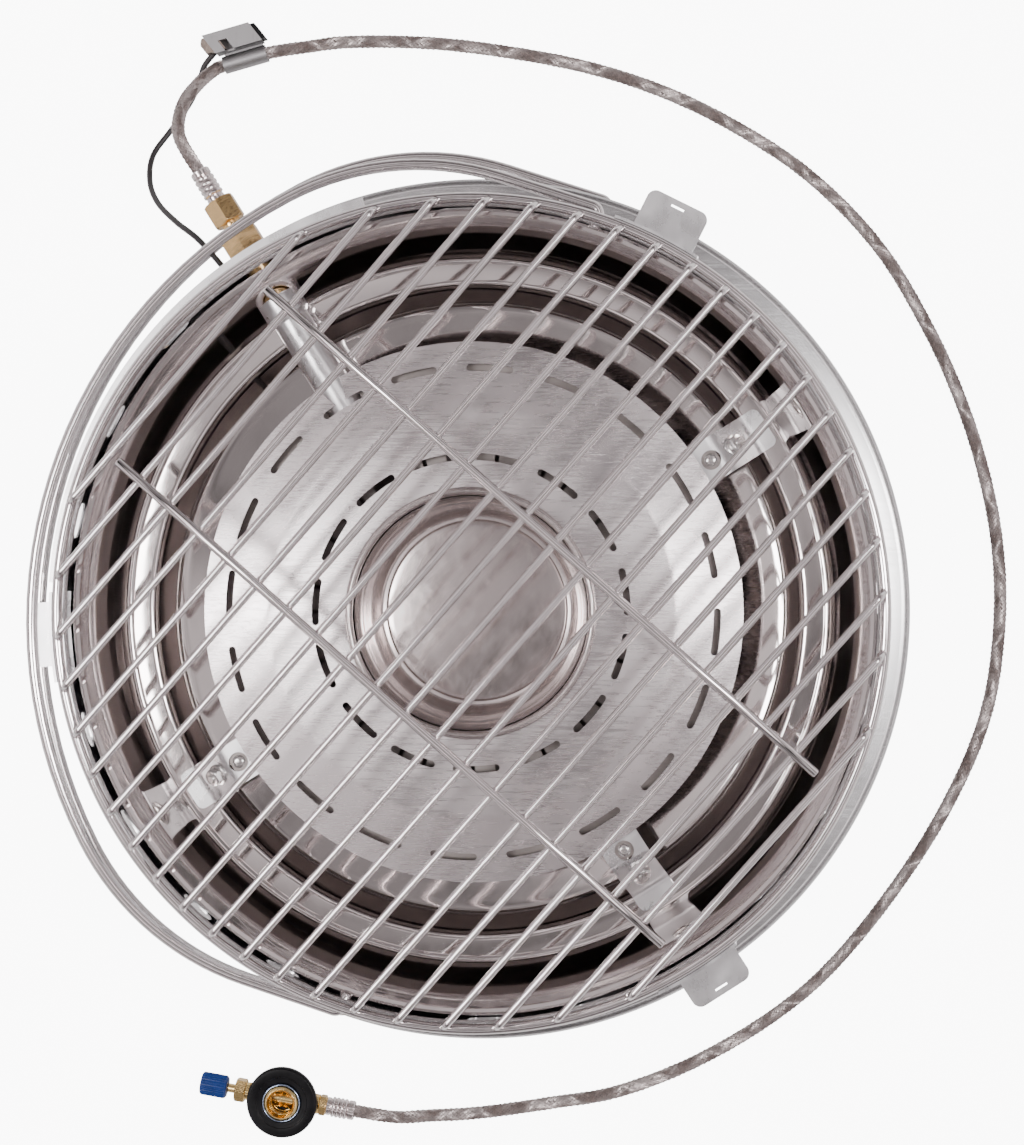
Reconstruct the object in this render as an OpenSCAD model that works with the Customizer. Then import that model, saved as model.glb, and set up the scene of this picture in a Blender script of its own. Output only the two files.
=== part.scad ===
// Portable gas dish heater, lying on its back with the guard up.
// The origin is the centre of the flat back face, +Z runs out through the guard.

/* [Casing] */
// Outer radius of the round wall
casing_r = 173.8; // [140:0.2:210]
// Height of the wall's top edge above the back face
casing_top = 85; // [85:1:102]
// Sheet metal thickness
sheet = 0.8; // [0.6:0.1:1.0]
// Radius of the flat back face
back_r = 104; // [80:1:120]
// Height of the seam between the rear shell and the wall
seam_z = 30; // [28:0.5:31]
// Number of vent holes round the wall
vent_count = 24; // [12:12:24]
// Height of one vent hole
vent_d = 9; // [5:0.5:9]
// Length of one vent hole
vent_l = 16; // [10:0.5:20]
// Height of the carrying flange
flange_z = 44; // [43.5:0.1:44.5]
// How far the flange stands out from the wall
flange_w = 11.2; // [8:0.2:12]

/* [Reflector] */
// Height of the reflector's rim
rim_z = 70; // [69:0.5:71]
// Height of the ledge between the two reflectors
ledge_z = 45; // [44:0.5:47]
// Height of the lower floor at its outer edge
floor_z = 28; // [24:0.5:30]

/* [Heat plate] */
// Outer radius of the slotted plate
plate_r = 114.5; // [110:0.5:118]
// Height of the plate's outer edge
plate_z = 62; // [61:0.5:63]
// Number of slots in the outer ring
outer_slots = 20; // [10:1:24]
// Number of slots in the inner ring
inner_slots = 15; // [8:1:18]
// Length of one slot
slot_l = 17; // [8:0.5:18]
// Width of one slot
slot_w = 3; // [2:0.1:4]
// Radius of the recessed disc in the middle
disc_r = 39; // [34:0.5:40]

/* [Guard] */
// Wire diameter of the guard ring
ring_d = 4.4; // [4:0.1:5]
// Diameter of the parallel rods
rod_d = 3.3; // [2.5:0.1:3.6]
// Number of parallel rods
rod_count = 20; // [12:1:24]
// Diameter of the two cross rods
cross_d = 4; // [3:0.1:4.5]
// Direction of the parallel rods, in degrees
rod_angle = 48.7; // [0:0.1:90]
// Length of a cross rod
cross_l = 300; // [200:5:310]

/* [Stand] */
// Wire diameter of the two stand loops
loop_d = 5; // [4:0.1:5]
// Gap between the wall and the middle of the front loop's leg
front_leg_gap = 3.6; // [3.6:0.1:6]
// Gap between the wall and the middle of the front loop's bar
front_bar_gap = 12.1; // [12:0.1:14]
// Gap between the wall and the middle of the rear loop's leg
rear_leg_gap = 10.9; // [10:0.1:14]
// Gap between the wall and the middle of the rear loop's bar
rear_bar_gap = 17.8; // [17:0.1:22]
// Radial clearance of a loop in its pivot hole
pivot_gap = 0.06; // [0.02:0.01:0.1]
// Height of the front loop
front_z = 74; // [73:0.5:75]
// Height of the rear loop
rear_z = 38; // [37:0.5:38.5]

/* [Gas inlet] */
// Height of the burner tube's axis
inlet_z = 56.4; // [55.5:0.1:57]
// Outer diameter of the burner tube
tube_d = 16; // [12:0.5:16]
// Diameter of the brass fitting through the wall
fitting_d = 13; // [12:0.2:13]
// Outside diameter of the braided hose
hose_d = 6.2; // [6:0.1:6.4]
// Outside diameter of the ignition lead
lead_d = 2.6; // [2:0.1:3]

/* [Canister valve] */
// Diameter of the black collar
collar_d = 31.5; // [28:0.5:36]
// Radius of the socket's bore
socket_r = 5.2; // [4.8:0.1:5.6]
// Diameter of the control knob
knob_d = 10.4; // [9:0.1:12]
// Length of the control knob
knob_l = 12; // [9:0.5:16]
// Radial clearance of the spindle in its gland
spindle_gap = 0.05; // [0.02:0.01:0.1]

/* [Igniter] */
// Length of the igniter's housing
igniter_l = 21.8; // [20:0.1:26]
// Width of the igniter's housing
igniter_w = 9.3; // [8.6:0.1:10]
// Travel of the igniter's button
button_travel = 3; // [2:0.5:3]
// Gap round the sliding button
button_gap = 0.3; // [0.2:0.05:0.4]

/* [Hidden] */
$fn = 96;
eps = 0.01;
// Bends are a hair thinner than straight runs, and the two lap
hair = 0.08;
lap = 0.2;

// Directions round the axis, in degrees
inlet_a = 122;
bushing_a = 126.2;
stand_a = 162;
clip_a = 63.3;
bracket_a = 32.6;
vent_a = 2;
pivot_turns = [-90, 90];

// Radii and heights that follow from the driving sizes
wall_in = casing_r - sheet;
wall_z = seam_z + sheet;
flange_t = sheet;
clip_t = 1.2;
clip_in = casing_r + sheet;
clip_out = clip_in + clip_t;
ring_r = clip_in - ring_d / 2;
ring_z = casing_top + ring_d / 2;
rod_z = ring_z + 8.3;
cross_z = rod_z + (rod_d + cross_d) / 2 - 0.3;
rod_span = 2 * 154.6 * casing_r / 173.8;
cross_half_gap = 47;
rim_r = casing_r - 4.8;
ledge_r = casing_r - 24.8;
step_r = casing_r - 39.8;
crease_r = plate_r - 27.5;
crease_z = plate_z + 4.5;
hub_r = disc_r + 14.5;
hub_z = plate_z + 7;
disc_z = plate_z - 23;
tube_wall = 0.8;
tube_gap = 0.3;
tube_start = 84;
tube_end = ledge_r + 9;
pan_r = plate_r - 18.5;
pan_z = plate_z - 5;
pan_floor = plate_z - 28;

// Unit vector to the left of the run from a to b
function left_of(a, b) = let (d = b - a) [-d[1], d[0]] / norm(d);
// Corner i of a run, moved t to the left of the run
function mitre(p, i, t) =
    let (
        last = len(p) - 1,
        n1 = left_of(p[max(i - 1, 0)], p[max(i, 1)]),
        n2 = left_of(p[min(i, last - 1)], p[min(i + 1, last)]),
        m = n1 + n2
    )
    p[i] + m * t * 2 / (m * m);
// Closed outline of a sheet of thickness t that follows a run of points
function skin(p, t) = concat(p, [for (i = [len(p) - 1 : -1 : 0]) mitre(p, i, t)]);

module spun(profile, t = sheet) {
    rotate_extrude() polygon(skin(profile, t));
}

// Puts children on the radial line at angle a and height z, with local Z pointing outwards
module radial(a, z) {
    rotate([0, 0, a]) translate([0, 0, z]) rotate([0, 90, 0]) children();
}

module hex_bar(across, length) {
    cylinder(d = across / cos(30), h = length, $fn = 6);
}

module tube(d_out, d_in, length) {
    difference() {
        cylinder(d = d_out, h = length);
        translate([0, 0, -eps]) cylinder(d = d_in, h = length + 2 * eps);
    }
}

// ---------- casing ----------

shell_run = [
    [0, 0], [back_r, 0], [back_r + 22, 3.5], [casing_r - 22, 12], [casing_r - 8, 21],
    [casing_r - 4.5, seam_z], [casing_r, seam_z]
];

module rear_shell() {
    color("lightgray") spun(shell_run);
}

vent_z = rim_z - 6.5;
lip_in = ring_r - 2.8;
clip_rivet_z = 58;
clip_rivet_a = 4.4;
rivet_d = 3;
rivet_gap = 0.1;
plate_rivet_a = 6.2;
plate_half_a = 8;

// True where direction a is within span of direction b
function near(a, b, span) = cos(a - b) > cos(span);
// Directions of the vents that miss the pivots, the clips and the inlet
vent_turns = [for (i = [0 : vent_count - 1]) let (a = vent_a + i * 360 / vent_count)
    if (!near(a, stand_a + 90, 8) && !near(a, stand_a - 90, 8) && !near(a, inlet_a, 6)
        && !near(3 * a, 3 * clip_a, 18)) a];

module wall_band(r_in, r_out, z0, z1, a0 = 0, a1 = 360) {
    rotate([0, 0, a0]) rotate_extrude(angle = a1 - a0)
        translate([r_in, z0]) square([r_out - r_in, z1 - z0]);
}

module radial_hole(a, z, d) {
    radial(a, z) translate([0, 0, casing_r - 12]) cylinder(d = d, h = 24);
}

module vent_hole(a) {
    radial(a, vent_z) translate([0, 0, casing_r - 3]) union() {
        for (s = [-1, 1]) translate([0, s * (vent_l - vent_d) / 2, 0]) cylinder(d = vent_d, h = 6);
        translate([-vent_d / 2, -(vent_l - vent_d) / 2, 0]) cube([vent_d, vent_l - vent_d, 6]);
    }
}

module outer_casing() {
    color("silver") difference() {
        union() {
            wall_band(wall_in, casing_r, wall_z, casing_top);
            wall_band(lip_in, casing_r - eps, casing_top - sheet, casing_top);
        }
        for (a = vent_turns) vent_hole(a);
        for (t = pivot_turns) radial_hole(stand_a + t, front_z, loop_d + 2 * pivot_gap);
        for (t = pivot_turns) radial_hole(stand_a + t, rear_z, loop_d + 2 * pivot_gap);
        radial_hole(inlet_a, inlet_z, fitting_d + 2 * rivet_gap);
        radial_hole(bushing_a, bushing_z, bushing_neck_d + rivet_gap);
        clip_holes();
        plate_holes();
    }
}

module clip_holes() {
    for (i = [0 : 2], s = [-1, 1])
        radial_hole(clip_a + 120 * i + s * clip_rivet_a, clip_rivet_z, rivet_d + rivet_gap);
}

module plate_holes() {
    for (t = pivot_turns, z = [front_z, rear_z], s = [-1, 1])
        radial_hole(stand_a + t + s * plate_rivet_a, z, rivet_d + rivet_gap);
}

flange_leg = 3.2;
flange_run = [
    [casing_r, flange_z], [casing_r + flange_w - 2.4, flange_z],
    [casing_r + flange_w - 0.8, flange_z - 0.7], [casing_r + flange_w, flange_z - 2.2]
];

module carrying_flange() {
    color("gainsboro") difference() {
        union() {
            spun(flange_run, flange_t);
            wall_band(casing_r, casing_r + sheet, flange_z, flange_z + flange_t + flange_leg);
        }
        radial_hole(bushing_a, bushing_z, bushing_neck_d + 2.6);
    }
}

// ---------- reflectors ----------

outer_run = [
    [ledge_r, ledge_z + sheet], [ledge_r + 2, ledge_z + 1.4], [ledge_r + 4.5, ledge_z + 4],
    [ledge_r + 8, ledge_z + 10], [ledge_r + 13, ledge_z + 18.5], [rim_r - 2.5, rim_z - 1],
    [rim_r - 0.8, rim_z], [rim_r + 0.8, rim_z - 0.4], [rim_r + 1.6, rim_z - 4], [wall_in, rim_z - 4]
];
tab_half_a = 5;

module outer_reflector() {
    color("lavenderblush") difference() {
        spun(outer_run);
        radial(inlet_a, inlet_z) cylinder(r = bell_r + tube_gap, h = casing_r + 5);
        for (i = [0 : 2]) wall_band(rim_r + 1.7, casing_r, rim_z - 6, rim_z,
            clip_a + 120 * i + tab_half_a, clip_a + 120 * (i + 1) - tab_half_a);
    }
}

inner_run = [
    [0, floor_z - 8], [20, floor_z - 8], [back_r - 20, floor_z - 6], [step_r - 6, floor_z - 2], [step_r, floor_z],
    [step_r + 1, floor_z + 2.5], [step_r + 5, ledge_z - 2], [step_r + 7, ledge_z],
    [ledge_r + 3, ledge_z]
];
electrode_r = 101;
electrode_a = 136;

module inner_reflector() {
    color("lavenderblush") difference() {
        spun(inner_run);
        rotate([0, 0, electrode_a]) translate([electrode_r, 0, 0]) cylinder(d = 5, h = floor_z);
        stud_holes();
    }
}

// ---------- heat plate and burner ----------

module arc_slots(count, r, phase) {
    turn = slot_l / r * 180 / PI / 2;
    for (i = [0 : count - 1]) rotate([0, 0, phase + i * 360 / count]) {
        rotate([0, 0, -turn]) rotate_extrude(angle = 2 * turn)
            translate([r - slot_w / 2, plate_z - 20]) square([slot_w, 40]);
        for (s = [-1, 1]) rotate([0, 0, s * turn]) translate([r, 0, plate_z - 20])
            cylinder(d = slot_w, h = 40, $fn = 24);
    }
}

plate_run = [[hub_r - 3, hub_z - sheet], [hub_r + 4, hub_z - 1.4], [crease_r, crease_z], [plate_r, plate_z]];

module heat_plate() {
    color("silver") difference() {
        union() {
            spun(plate_run);
            wall_band(plate_r - sheet, plate_r, plate_z - 2, plate_z + 0.4);
        }
        arc_slots(outer_slots, plate_r - 11, 13.7);
        arc_slots(inner_slots, hub_r + 12.5, 8);
        radial(inlet_a, inlet_z) cylinder(d = tube_d + 2 * tube_gap, h = casing_r);
    }
}

module hub_ring() {
    color("silver") rotate_extrude() union() {
        translate([hub_r - 2, hub_z + 1.6]) circle(r = 1.6, $fn = 48);
        translate([hub_r - 3.6, hub_z]) square([3.2, 1.6]);
    }
}

cup_run = [
    [0, disc_z], [disc_r, disc_z], [disc_r + 0.8, disc_z - 1.2], [disc_r + 3, disc_z - 0.4],
    [disc_r + 5.5, disc_z + 5], [disc_r + 8.5, hub_z - 4.5], [hub_r - 4.2, hub_z - 0.4]
];

module hub_cup() {
    color("rosybrown") spun(cup_run);
}

pan_run = [
    [0, pan_floor], [pan_r - 6, pan_floor], [pan_r - 1, pan_floor + 4], [pan_r, pan_z], [pan_r + 10, pan_z]
];
tab_w = 15;
tab_rivet_r = 119.7 * casing_r / 173.8;

module burner_pan() {
    color("gray") difference() {
        union() {
            spun(pan_run);
            for (i = [0, 2, 3]) rotate([0, 0, bracket_a + 90 * i])
                translate([pan_r + 5, -tab_w / 2, pan_z]) cube([bend_in - pan_r - 6, tab_w, sheet]);
        }
        radial(inlet_a, inlet_z) cylinder(d = tube_d + 2 * tube_gap, h = casing_r);
        rotate([0, 0, electrode_a]) translate([electrode_r, 0, 0]) cylinder(d = ceramic_d + 0.1, h = casing_top);
        for (i = [0, 2, 3]) rotate([0, 0, bracket_a + 90 * i]) translate([tab_rivet_r, 0, 0])
            cylinder(d = rivet_d + rivet_gap, h = casing_top);
    }
}

port_count = 40;
grid_t = 0.8;

module burner_grid() {
    color("dimgray") difference() {
        rotate_extrude() translate([hub_r, pan_z + sheet]) square([pan_r + 2 - hub_r, grid_t]);
        for (i = [0 : port_count - 1]) rotate([0, 0, i * 360 / port_count])
            translate([hub_r + 6, -0.9, pan_z]) cube([pan_r - hub_r - 12, 1.8, 3]);
        radial(inlet_a, inlet_z) cylinder(d = tube_d + 2 * tube_gap, h = casing_r);
    }
}

bell_r = tube_d / 2 + 1.6;
bell_l = 11;
air_d = 6;

module venturi_tube() {
    color("silver") radial(inlet_a, inlet_z) difference() {
        rotate_extrude() polygon([
            [tube_d / 2 - tube_wall, tube_start], [tube_d / 2, tube_start],
            [tube_d / 2, tube_end - bell_l], [bell_r, tube_end - bell_l + 1.6], [bell_r, tube_end],
            [fitting_d / 2 + rivet_gap, tube_end], [fitting_d / 2 + rivet_gap, tube_end - 1],
            [bell_r - tube_wall, tube_end - 1], [bell_r - tube_wall, tube_end - bell_l + 2],
            [tube_d / 2 - tube_wall, tube_end - bell_l + 0.4]
        ]);
        for (a = [45 : 90 : 315]) rotate([0, 0, a]) translate([0, 0, tube_end - 5])
            rotate([0, 90, 0]) cylinder(d = air_d, h = tube_d);
    }
}

fit_in = tube_end - 4;
nut_in = casing_r + 5.2;
nut_l = 12;
nut_af = 16;
hose_nut_in = nut_in + nut_l + 5;
hose_nut_l = 11;
hose_nut_af = 13;
ferrule_in = hose_nut_in + hose_nut_l;
ferrule_l = 15;
neck_d = 8.4;

module gas_jet() {
    color("goldenrod") radial(inlet_a, inlet_z) difference() {
        union() {
            translate([0, 0, fit_in - 3]) hex_bar(7, 3);
            translate([0, 0, fit_in - 6]) cylinder(d1 = 3, d2 = 5, h = 3);
        }
        translate([0, 0, fit_in - 7]) cylinder(d = 1, h = 8, $fn = 24);
    }
}

module inlet_fitting() {
    color("goldenrod") radial(inlet_a, inlet_z) difference() {
        union() {
            translate([0, 0, fit_in]) cylinder(d = fitting_d, h = nut_in - fit_in + nut_l - 1);
            translate([0, 0, casing_r + 0.3]) cylinder(d = fitting_d + 2.6, h = nut_in - casing_r - 0.3);
            translate([0, 0, nut_in + nut_l - 1]) cylinder(d = neck_d, h = hose_nut_in - nut_in - nut_l + 5);
        }
        translate([0, 0, fit_in - 1]) cylinder(d = 4, h = 60);
    }
}

module inlet_nut() {
    color("darkgoldenrod") radial(inlet_a, inlet_z) translate([0, 0, nut_in]) difference() {
        intersection() {
            hex_bar(nut_af, nut_l);
            cylinder(d1 = nut_af - 0.5 + 6, d2 = nut_af + 1.6, h = nut_l);
        }
        translate([0, 0, -eps]) cylinder(d = fitting_d, h = nut_l - 1 + eps);
        cylinder(d = neck_d, h = nut_l + 1);
    }
}

module hose_nut() {
    color("darkgoldenrod") radial(inlet_a, inlet_z) translate([0, 0, hose_nut_in]) difference() {
        intersection() {
            hex_bar(hose_nut_af, hose_nut_l);
            cylinder(d1 = hose_nut_af + 0.8, d2 = hose_nut_af + 2.6, h = hose_nut_l);
        }
        translate([0, 0, -1]) cylinder(d = neck_d, h = 5);
        cylinder(d = 4, h = hose_nut_l + 1);
    }
}

ferrule_d = 8.6;

module ferrule(length) {
    difference() {
        union() {
            cylinder(d = ferrule_d - 0.8, h = 2);
            translate([0, 0, 2]) hex_bar(ferrule_d - 0.8, length - 5);
            translate([0, 0, length - 3]) cylinder(d = ferrule_d, h = 3);
        }
        translate([0, 0, -1]) cylinder(d = 4, h = length - 2);
        translate([0, 0, length - 3]) cylinder(d = hose_d, h = 4);
    }
}

module inlet_ferrule() {
    color("silver") radial(inlet_a, inlet_z) translate([0, 0, ferrule_in]) ferrule(ferrule_l);
}

shield_z = 68;
shield_w = 7.2;
shield_a0 = 104.6;
shield_a1 = 176;

module inlet_shield() {
    color("gainsboro") difference() {
        union() {
            wall_band(casing_r, casing_r + shield_w, shield_z, shield_z + sheet, shield_a0, shield_a1);
            wall_band(casing_r, casing_r + sheet, shield_z, shield_z + 5, shield_a0, shield_a1);
        }
        radial(inlet_a, inlet_z) cylinder(d = fitting_d + 4, h = casing_r + 20);
    }
}

// ---------- guard ----------

module guard_ring() {
    color("white") rotate_extrude() translate([ring_r, ring_z]) circle(d = ring_d, $fn = 48);
}

bend_r = 2.5;
bend_a = 68;
foot_l = 5.4;
foot_reach = bend_r * sin(bend_a) + foot_l * cos(bend_a);
foot_r = ring_r - 0.9;

// Bent end of a rod: the bend starts at the origin and turns down, inside the straight runs' ends
module rod_end() {
    translate([0, 0, -bend_r]) rotate([90, 0, 0]) rotate([0, 0, 90 - bend_a])
        rotate_extrude(angle = bend_a) translate([bend_r, 0]) circle(d = rod_d - hair, $fn = 32);
    translate([bend_r * sin(bend_a), 0, bend_r * (cos(bend_a) - 1)]) rotate([0, 90 + bend_a, 0])
        translate([0, 0, -lap]) cylinder(d = rod_d, h = foot_l + lap, $fn = 32);
}

module guard_rod(offset) {
    half = sqrt(foot_r * foot_r - offset * offset) - foot_reach;
    translate([-half - lap, offset, rod_z]) rotate([0, 90, 0]) cylinder(d = rod_d, h = 2 * (half + lap), $fn = 32);
    translate([half, offset, rod_z]) rod_end();
    translate([-half, offset, rod_z]) rotate([0, 0, 180]) rod_end();
}

module guard_rods() {
    color("white") rotate([0, 0, rod_angle]) for (i = [0 : rod_count - 1])
        guard_rod(-rod_span / 2 + i * rod_span / (rod_count - 1));
}

module guard_cross_rods() {
    color("white") rotate([0, 0, rod_angle - 90]) for (s = [-1, 1])
        translate([-cross_l / 2, s * cross_half_gap, cross_z]) rotate([0, 90, 0])
            cylinder(d = cross_d, h = cross_l, $fn = 32);
}

// ---------- clips that hold the guard, each with an ear on the flange ----------

clip_half_a = 6.2;
ear_w = 28;
ear_reach = 23;
ear_z = flange_z + flange_t;
ear_corner = 4;
slit_l = 6;
slit_w = 1;

module ear_outline() {
    difference() {
        union() {
            translate([0, -ear_w / 2]) square([ear_reach - ear_corner, ear_w]);
            translate([0, -ear_w / 2 + ear_corner]) square([ear_reach, ear_w - 2 * ear_corner]);
            for (s = [-1, 1]) translate([ear_reach - ear_corner, s * (ear_w / 2 - ear_corner)])
                circle(r = ear_corner, $fn = 48);
        }
        translate([ear_reach - 3.6, -slit_l / 2]) square([slit_w, slit_l]);
    }
}

module clip(i) {
    a = clip_a + 120 * (i - 1);
    color("gainsboro") difference() {
        union() {
            wall_band(clip_in, clip_out, ear_z, ring_z + 0.8, a - clip_half_a, a + clip_half_a);
            rotate([0, 0, a]) difference() {
                translate([clip_in - 2, 0, ear_z]) linear_extrude(clip_t) ear_outline();
                translate([0, 0, ear_z - 1]) cylinder(r = clip_in, h = clip_t + 2);
            }
        }
        clip_holes();
        // Room for the heads of the rivets that hold the pivot plates
        for (t = pivot_turns, s = [-1, 1])
            radial_hole(stand_a + t + s * plate_rivet_a, front_z, rivet_d + 3.4);
    }
}

module clip_backings() {
    color("dimgray") difference() {
        for (i = [0 : 2]) {
            a = clip_a + 120 * i;
            wall_band(wall_in - sheet, wall_in, clip_rivet_z - 6, rim_z - 5, a - clip_half_a, a + clip_half_a);
        }
        clip_holes();
    }
}

// A rivet that holds from local Z = 0 to Z = grip
module rivet(grip) {
    translate([0, 0, -0.9]) cylinder(d = rivet_d + 2.4, h = 0.9, $fn = 32);
    translate([0, 0, -eps]) cylinder(d = rivet_d, h = grip + 2 * eps, $fn = 32);
    translate([0, 0, grip]) cylinder(d1 = rivet_d + 2.6, d2 = rivet_d + 0.6, h = 1, $fn = 32);
}

module clip_rivets() {
    color("silver") for (i = [0 : 2], s = [-1, 1])
        radial(clip_a + 120 * i + s * clip_rivet_a, clip_rivet_z)
            translate([0, 0, wall_in - sheet - 0.05]) rivet(clip_out - wall_in + sheet + 0.1);
}

// ---------- brackets between the reflector and the burner pan ----------

bracket_w = 18;
bracket_t = 1.2;
bracket_top = pan_z + sheet;
screw_r = 130.6 * casing_r / 173.8;
bend_in = tab_rivet_r + 4.6;
bend_out = step_r + 5.4;
bracket_foot = ledge_z + sheet;
slope_drop = bracket_top - bracket_foot;
slope_run = bend_out - bend_in;
slope_a = atan2(slope_drop, slope_run);
screw_z = bracket_top - slope_drop * (screw_r - bend_in) / slope_run;
window_d = 8.3;
stud_d = 4;

bracket_run = [
    [tab_rivet_r - 7, bracket_top], [bend_in, bracket_top], [bend_out, bracket_foot],
    [ledge_r - 1.2, bracket_foot]
];

// Local Z is the slope's outward normal at the screw
module at_screw(a) {
    rotate([0, 0, a]) translate([screw_r, 0, screw_z]) rotate([0, slope_a, 0]) children();
}

module bracket(i) {
    a = bracket_a + 90 * [0, 2, 3][i - 1];
    color("silver") difference() {
        rotate([0, 0, a]) rotate([90, 0, 0]) translate([0, 0, -bracket_w / 2])
            linear_extrude(bracket_w) polygon(skin(bracket_run, bracket_t));
        rotate([0, 0, a]) translate([tab_rivet_r, 0, pan_z]) cylinder(d = window_d, h = 10);
        at_screw(a) translate([0, 0, -5]) cylinder(d = stud_d + 0.2, h = 12);
    }
}

stud_drop = 24;

module stud_holes() {
    for (i = [0, 2, 3]) at_screw(bracket_a + 90 * i)
        translate([0, 0, -stud_drop - 20]) cylinder(d = stud_d + 0.4, h = stud_drop + 20);
}

module bracket_studs() {
    color("silver") for (i = [0, 2, 3]) at_screw(bracket_a + 90 * i)
        translate([0, 0, -stud_drop]) cylinder(d = stud_d, h = stud_drop + bracket_t + 5, $fn = 32);
}

nut_h = 3.2;

module bracket_nuts() {
    color("lightgray") for (i = [0, 2, 3]) at_screw(bracket_a + 90 * i) translate([0, 0, bracket_t]) difference() {
        union() {
            cylinder(d = 9.4, h = 1);
            hex_bar(7, nut_h + 1);
        }
        translate([0, 0, -1]) cylinder(d = stud_d, h = nut_h + 4);
    }
}

module tab_rivets() {
    color("silver") for (i = [0, 2, 3]) rotate([0, 0, bracket_a + 90 * i])
        translate([tab_rivet_r, 0, pan_z - 0.05]) rivet(sheet + 0.1);
}

// ---------- ignition inside the casing ----------

ceramic_d = 5;
bushing_z = 50;
bushing_neck_d = 5.4;
bushing_out = 8;
wire_d = 1.2;

module electrode_ceramic() {
    color("white") rotate([0, 0, electrode_a]) translate([electrode_r, 0, pan_z - 14]) union() {
        cylinder(d = ceramic_d, h = 17, $fn = 32);
        cylinder(d = ceramic_d + 2, h = 4, $fn = 32);
    }
}

module electrode_wire() {
    color("silver") rotate([0, 0, electrode_a]) translate([electrode_r, 0, pan_z + 3]) union() {
        cylinder(d = wire_d, h = 1.6, $fn = 16);
        translate([0, 0, 1.6]) sphere(d = wire_d, $fn = 16);
        translate([0, 0, 1.6]) rotate([0, -90, 0]) cylinder(d = wire_d, h = 7, $fn = 16);
    }
}

// Points of the inner lead in the plane at electrode_a: radius and height
lead_in = wall_in - 5;
inner_lead = [
    [electrode_r, pan_z - 14], [electrode_r, 12], [lead_in - 18, 16], [lead_in, 34], [lead_in, bushing_z]
];

module lead_leg(a, b) {
    d = b - a;
    translate([a[0], 0, a[1]]) rotate([0, atan2(d[0], d[1]), 0]) cylinder(d = 2, h = norm(d), $fn = 16);
    translate([b[0], 0, b[1]]) sphere(d = 2.4, $fn = 16);
}

module electrode_lead() {
    color("dimgray") union() {
        rotate([0, 0, electrode_a]) for (i = [0 : len(inner_lead) - 2]) lead_leg(inner_lead[i], inner_lead[i + 1]);
        wall_band(lead_in - 1, lead_in + 1, bushing_z - 1, bushing_z + 1, bushing_a, electrode_a);
    }
}

module lead_bushing() {
    color("black") radial(bushing_a, bushing_z) difference() {
        union() {
            translate([0, 0, casing_r - 2.4]) cylinder(d = bushing_neck_d, h = 4, $fn = 32);
            translate([0, 0, wall_in - 1.6]) cylinder(d = bushing_neck_d + 2, h = 1.5, $fn = 32);
            translate([0, 0, casing_r + 0.1]) cylinder(d = bushing_neck_d + 2, h = 2.4, $fn = 32);
            translate([0, 0, casing_r + 2]) cylinder(d1 = bushing_neck_d, d2 = lead_d + 1.4, h = bushing_out - 2);
        }
        translate([0, 0, casing_r + bushing_out - 3]) cylinder(d = lead_d, h = 4, $fn = 32);
    }
}

// ---------- swept cords ----------

// Catmull-Rom point between b and c at share t
function spline(a, b, c, d, t) =
    0.5 * (2 * b + (c - a) * t + (2 * a - 5 * b + 4 * c - d) * t * t + (3 * b - a - 3 * c + d) * t * t * t);
function smooth_run(p, n) = concat(
    [for (i = [0 : len(p) - 2], k = [0 : n - 1])
        spline(p[max(i - 1, 0)], p[i], p[i + 1], p[min(i + 2, len(p) - 1)], k / n)],
    [p[len(p) - 1]]
);
function unit(v) = v / norm(v);
function tangent(p, i) = unit(p[min(i + 1, len(p) - 1)] - p[max(i - 1, 0)]);
// One ring of a sweep; start and finish tangents can be given
function ring_at(c, t, d, sides) =
    let (side = unit(cross(t, [0, 0, 1])), up = cross(side, t))
    [for (k = [0 : sides - 1])
        c + d / 2 * (side * cos((k + 0.5) * 360 / sides) + up * sin((k + 0.5) * 360 / sides))];

module sweep(p, t0, t1, d, sides) {
    n = len(p);
    rings = [for (i = [0 : n - 1])
        ring_at(p[i], i == 0 ? t0 : (i == n - 1 ? t1 : tangent(p, i)), d, sides)];
    points = [for (r = rings, q = r) q];
    ends = [[for (k = [sides - 1 : -1 : 0]) k], [for (k = [0 : sides - 1]) (n - 1) * sides + k]];
    faces = [for (i = [0 : n - 2], k = [0 : sides - 1])
        [i * sides + k, i * sides + (k + 1) % sides, (i + 1) * sides + (k + 1) % sides, (i + 1) * sides + k]];
    polyhedron(points = points, faces = concat(ends, faces), convexity = 10);
}

function polar(r, a, z) = [r * cos(a), r * sin(a), z];

hose_out = ferrule_in + ferrule_l - 1;
hose_points = [
    [-127, 204, 53], [-128, 219, 40], [-125, 231, 22], [-120, 240, 7],
    [-116.6, 242.04, 4.3], [-97.2, 247.35, 4.3],
    [-80, 250, 3.2], [-60, 252, 3.2], [-24, 251, 3.2], [14, 246, 3.2], [51, 238, 3.2], [87, 225, 3.2],
    [122, 206, 3.2], [149, 186, 3.2], [175, 158, 3.2], [195, 125, 3.2], [210, 92, 3.2], [221, 57, 3.2],
    [227, 22, 3.2], [227, -14, 3.2], [221, -49, 3.2], [206, -85, 3.2], [185, -120, 3.2],
    [158, -155, 3.2], [132, -179, 3.2], [97, -201, 3.2], [61, -216, 3.2], [30, -222, 3.2],
    [-2, -227, 3.2], [-24, -228.5, 4], [-40, -228.8, 7]
];
valve_c = [-89.4, -220.6];
valve_a = -9.4;
valve_axis_z = 9;
valve_ferrule_end = 31;

function valve_point(x, y, z) = [
    valve_c[0] + x * cos(valve_a) - y * sin(valve_a), valve_c[1] + x * sin(valve_a) + y * cos(valve_a), z
];

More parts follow.
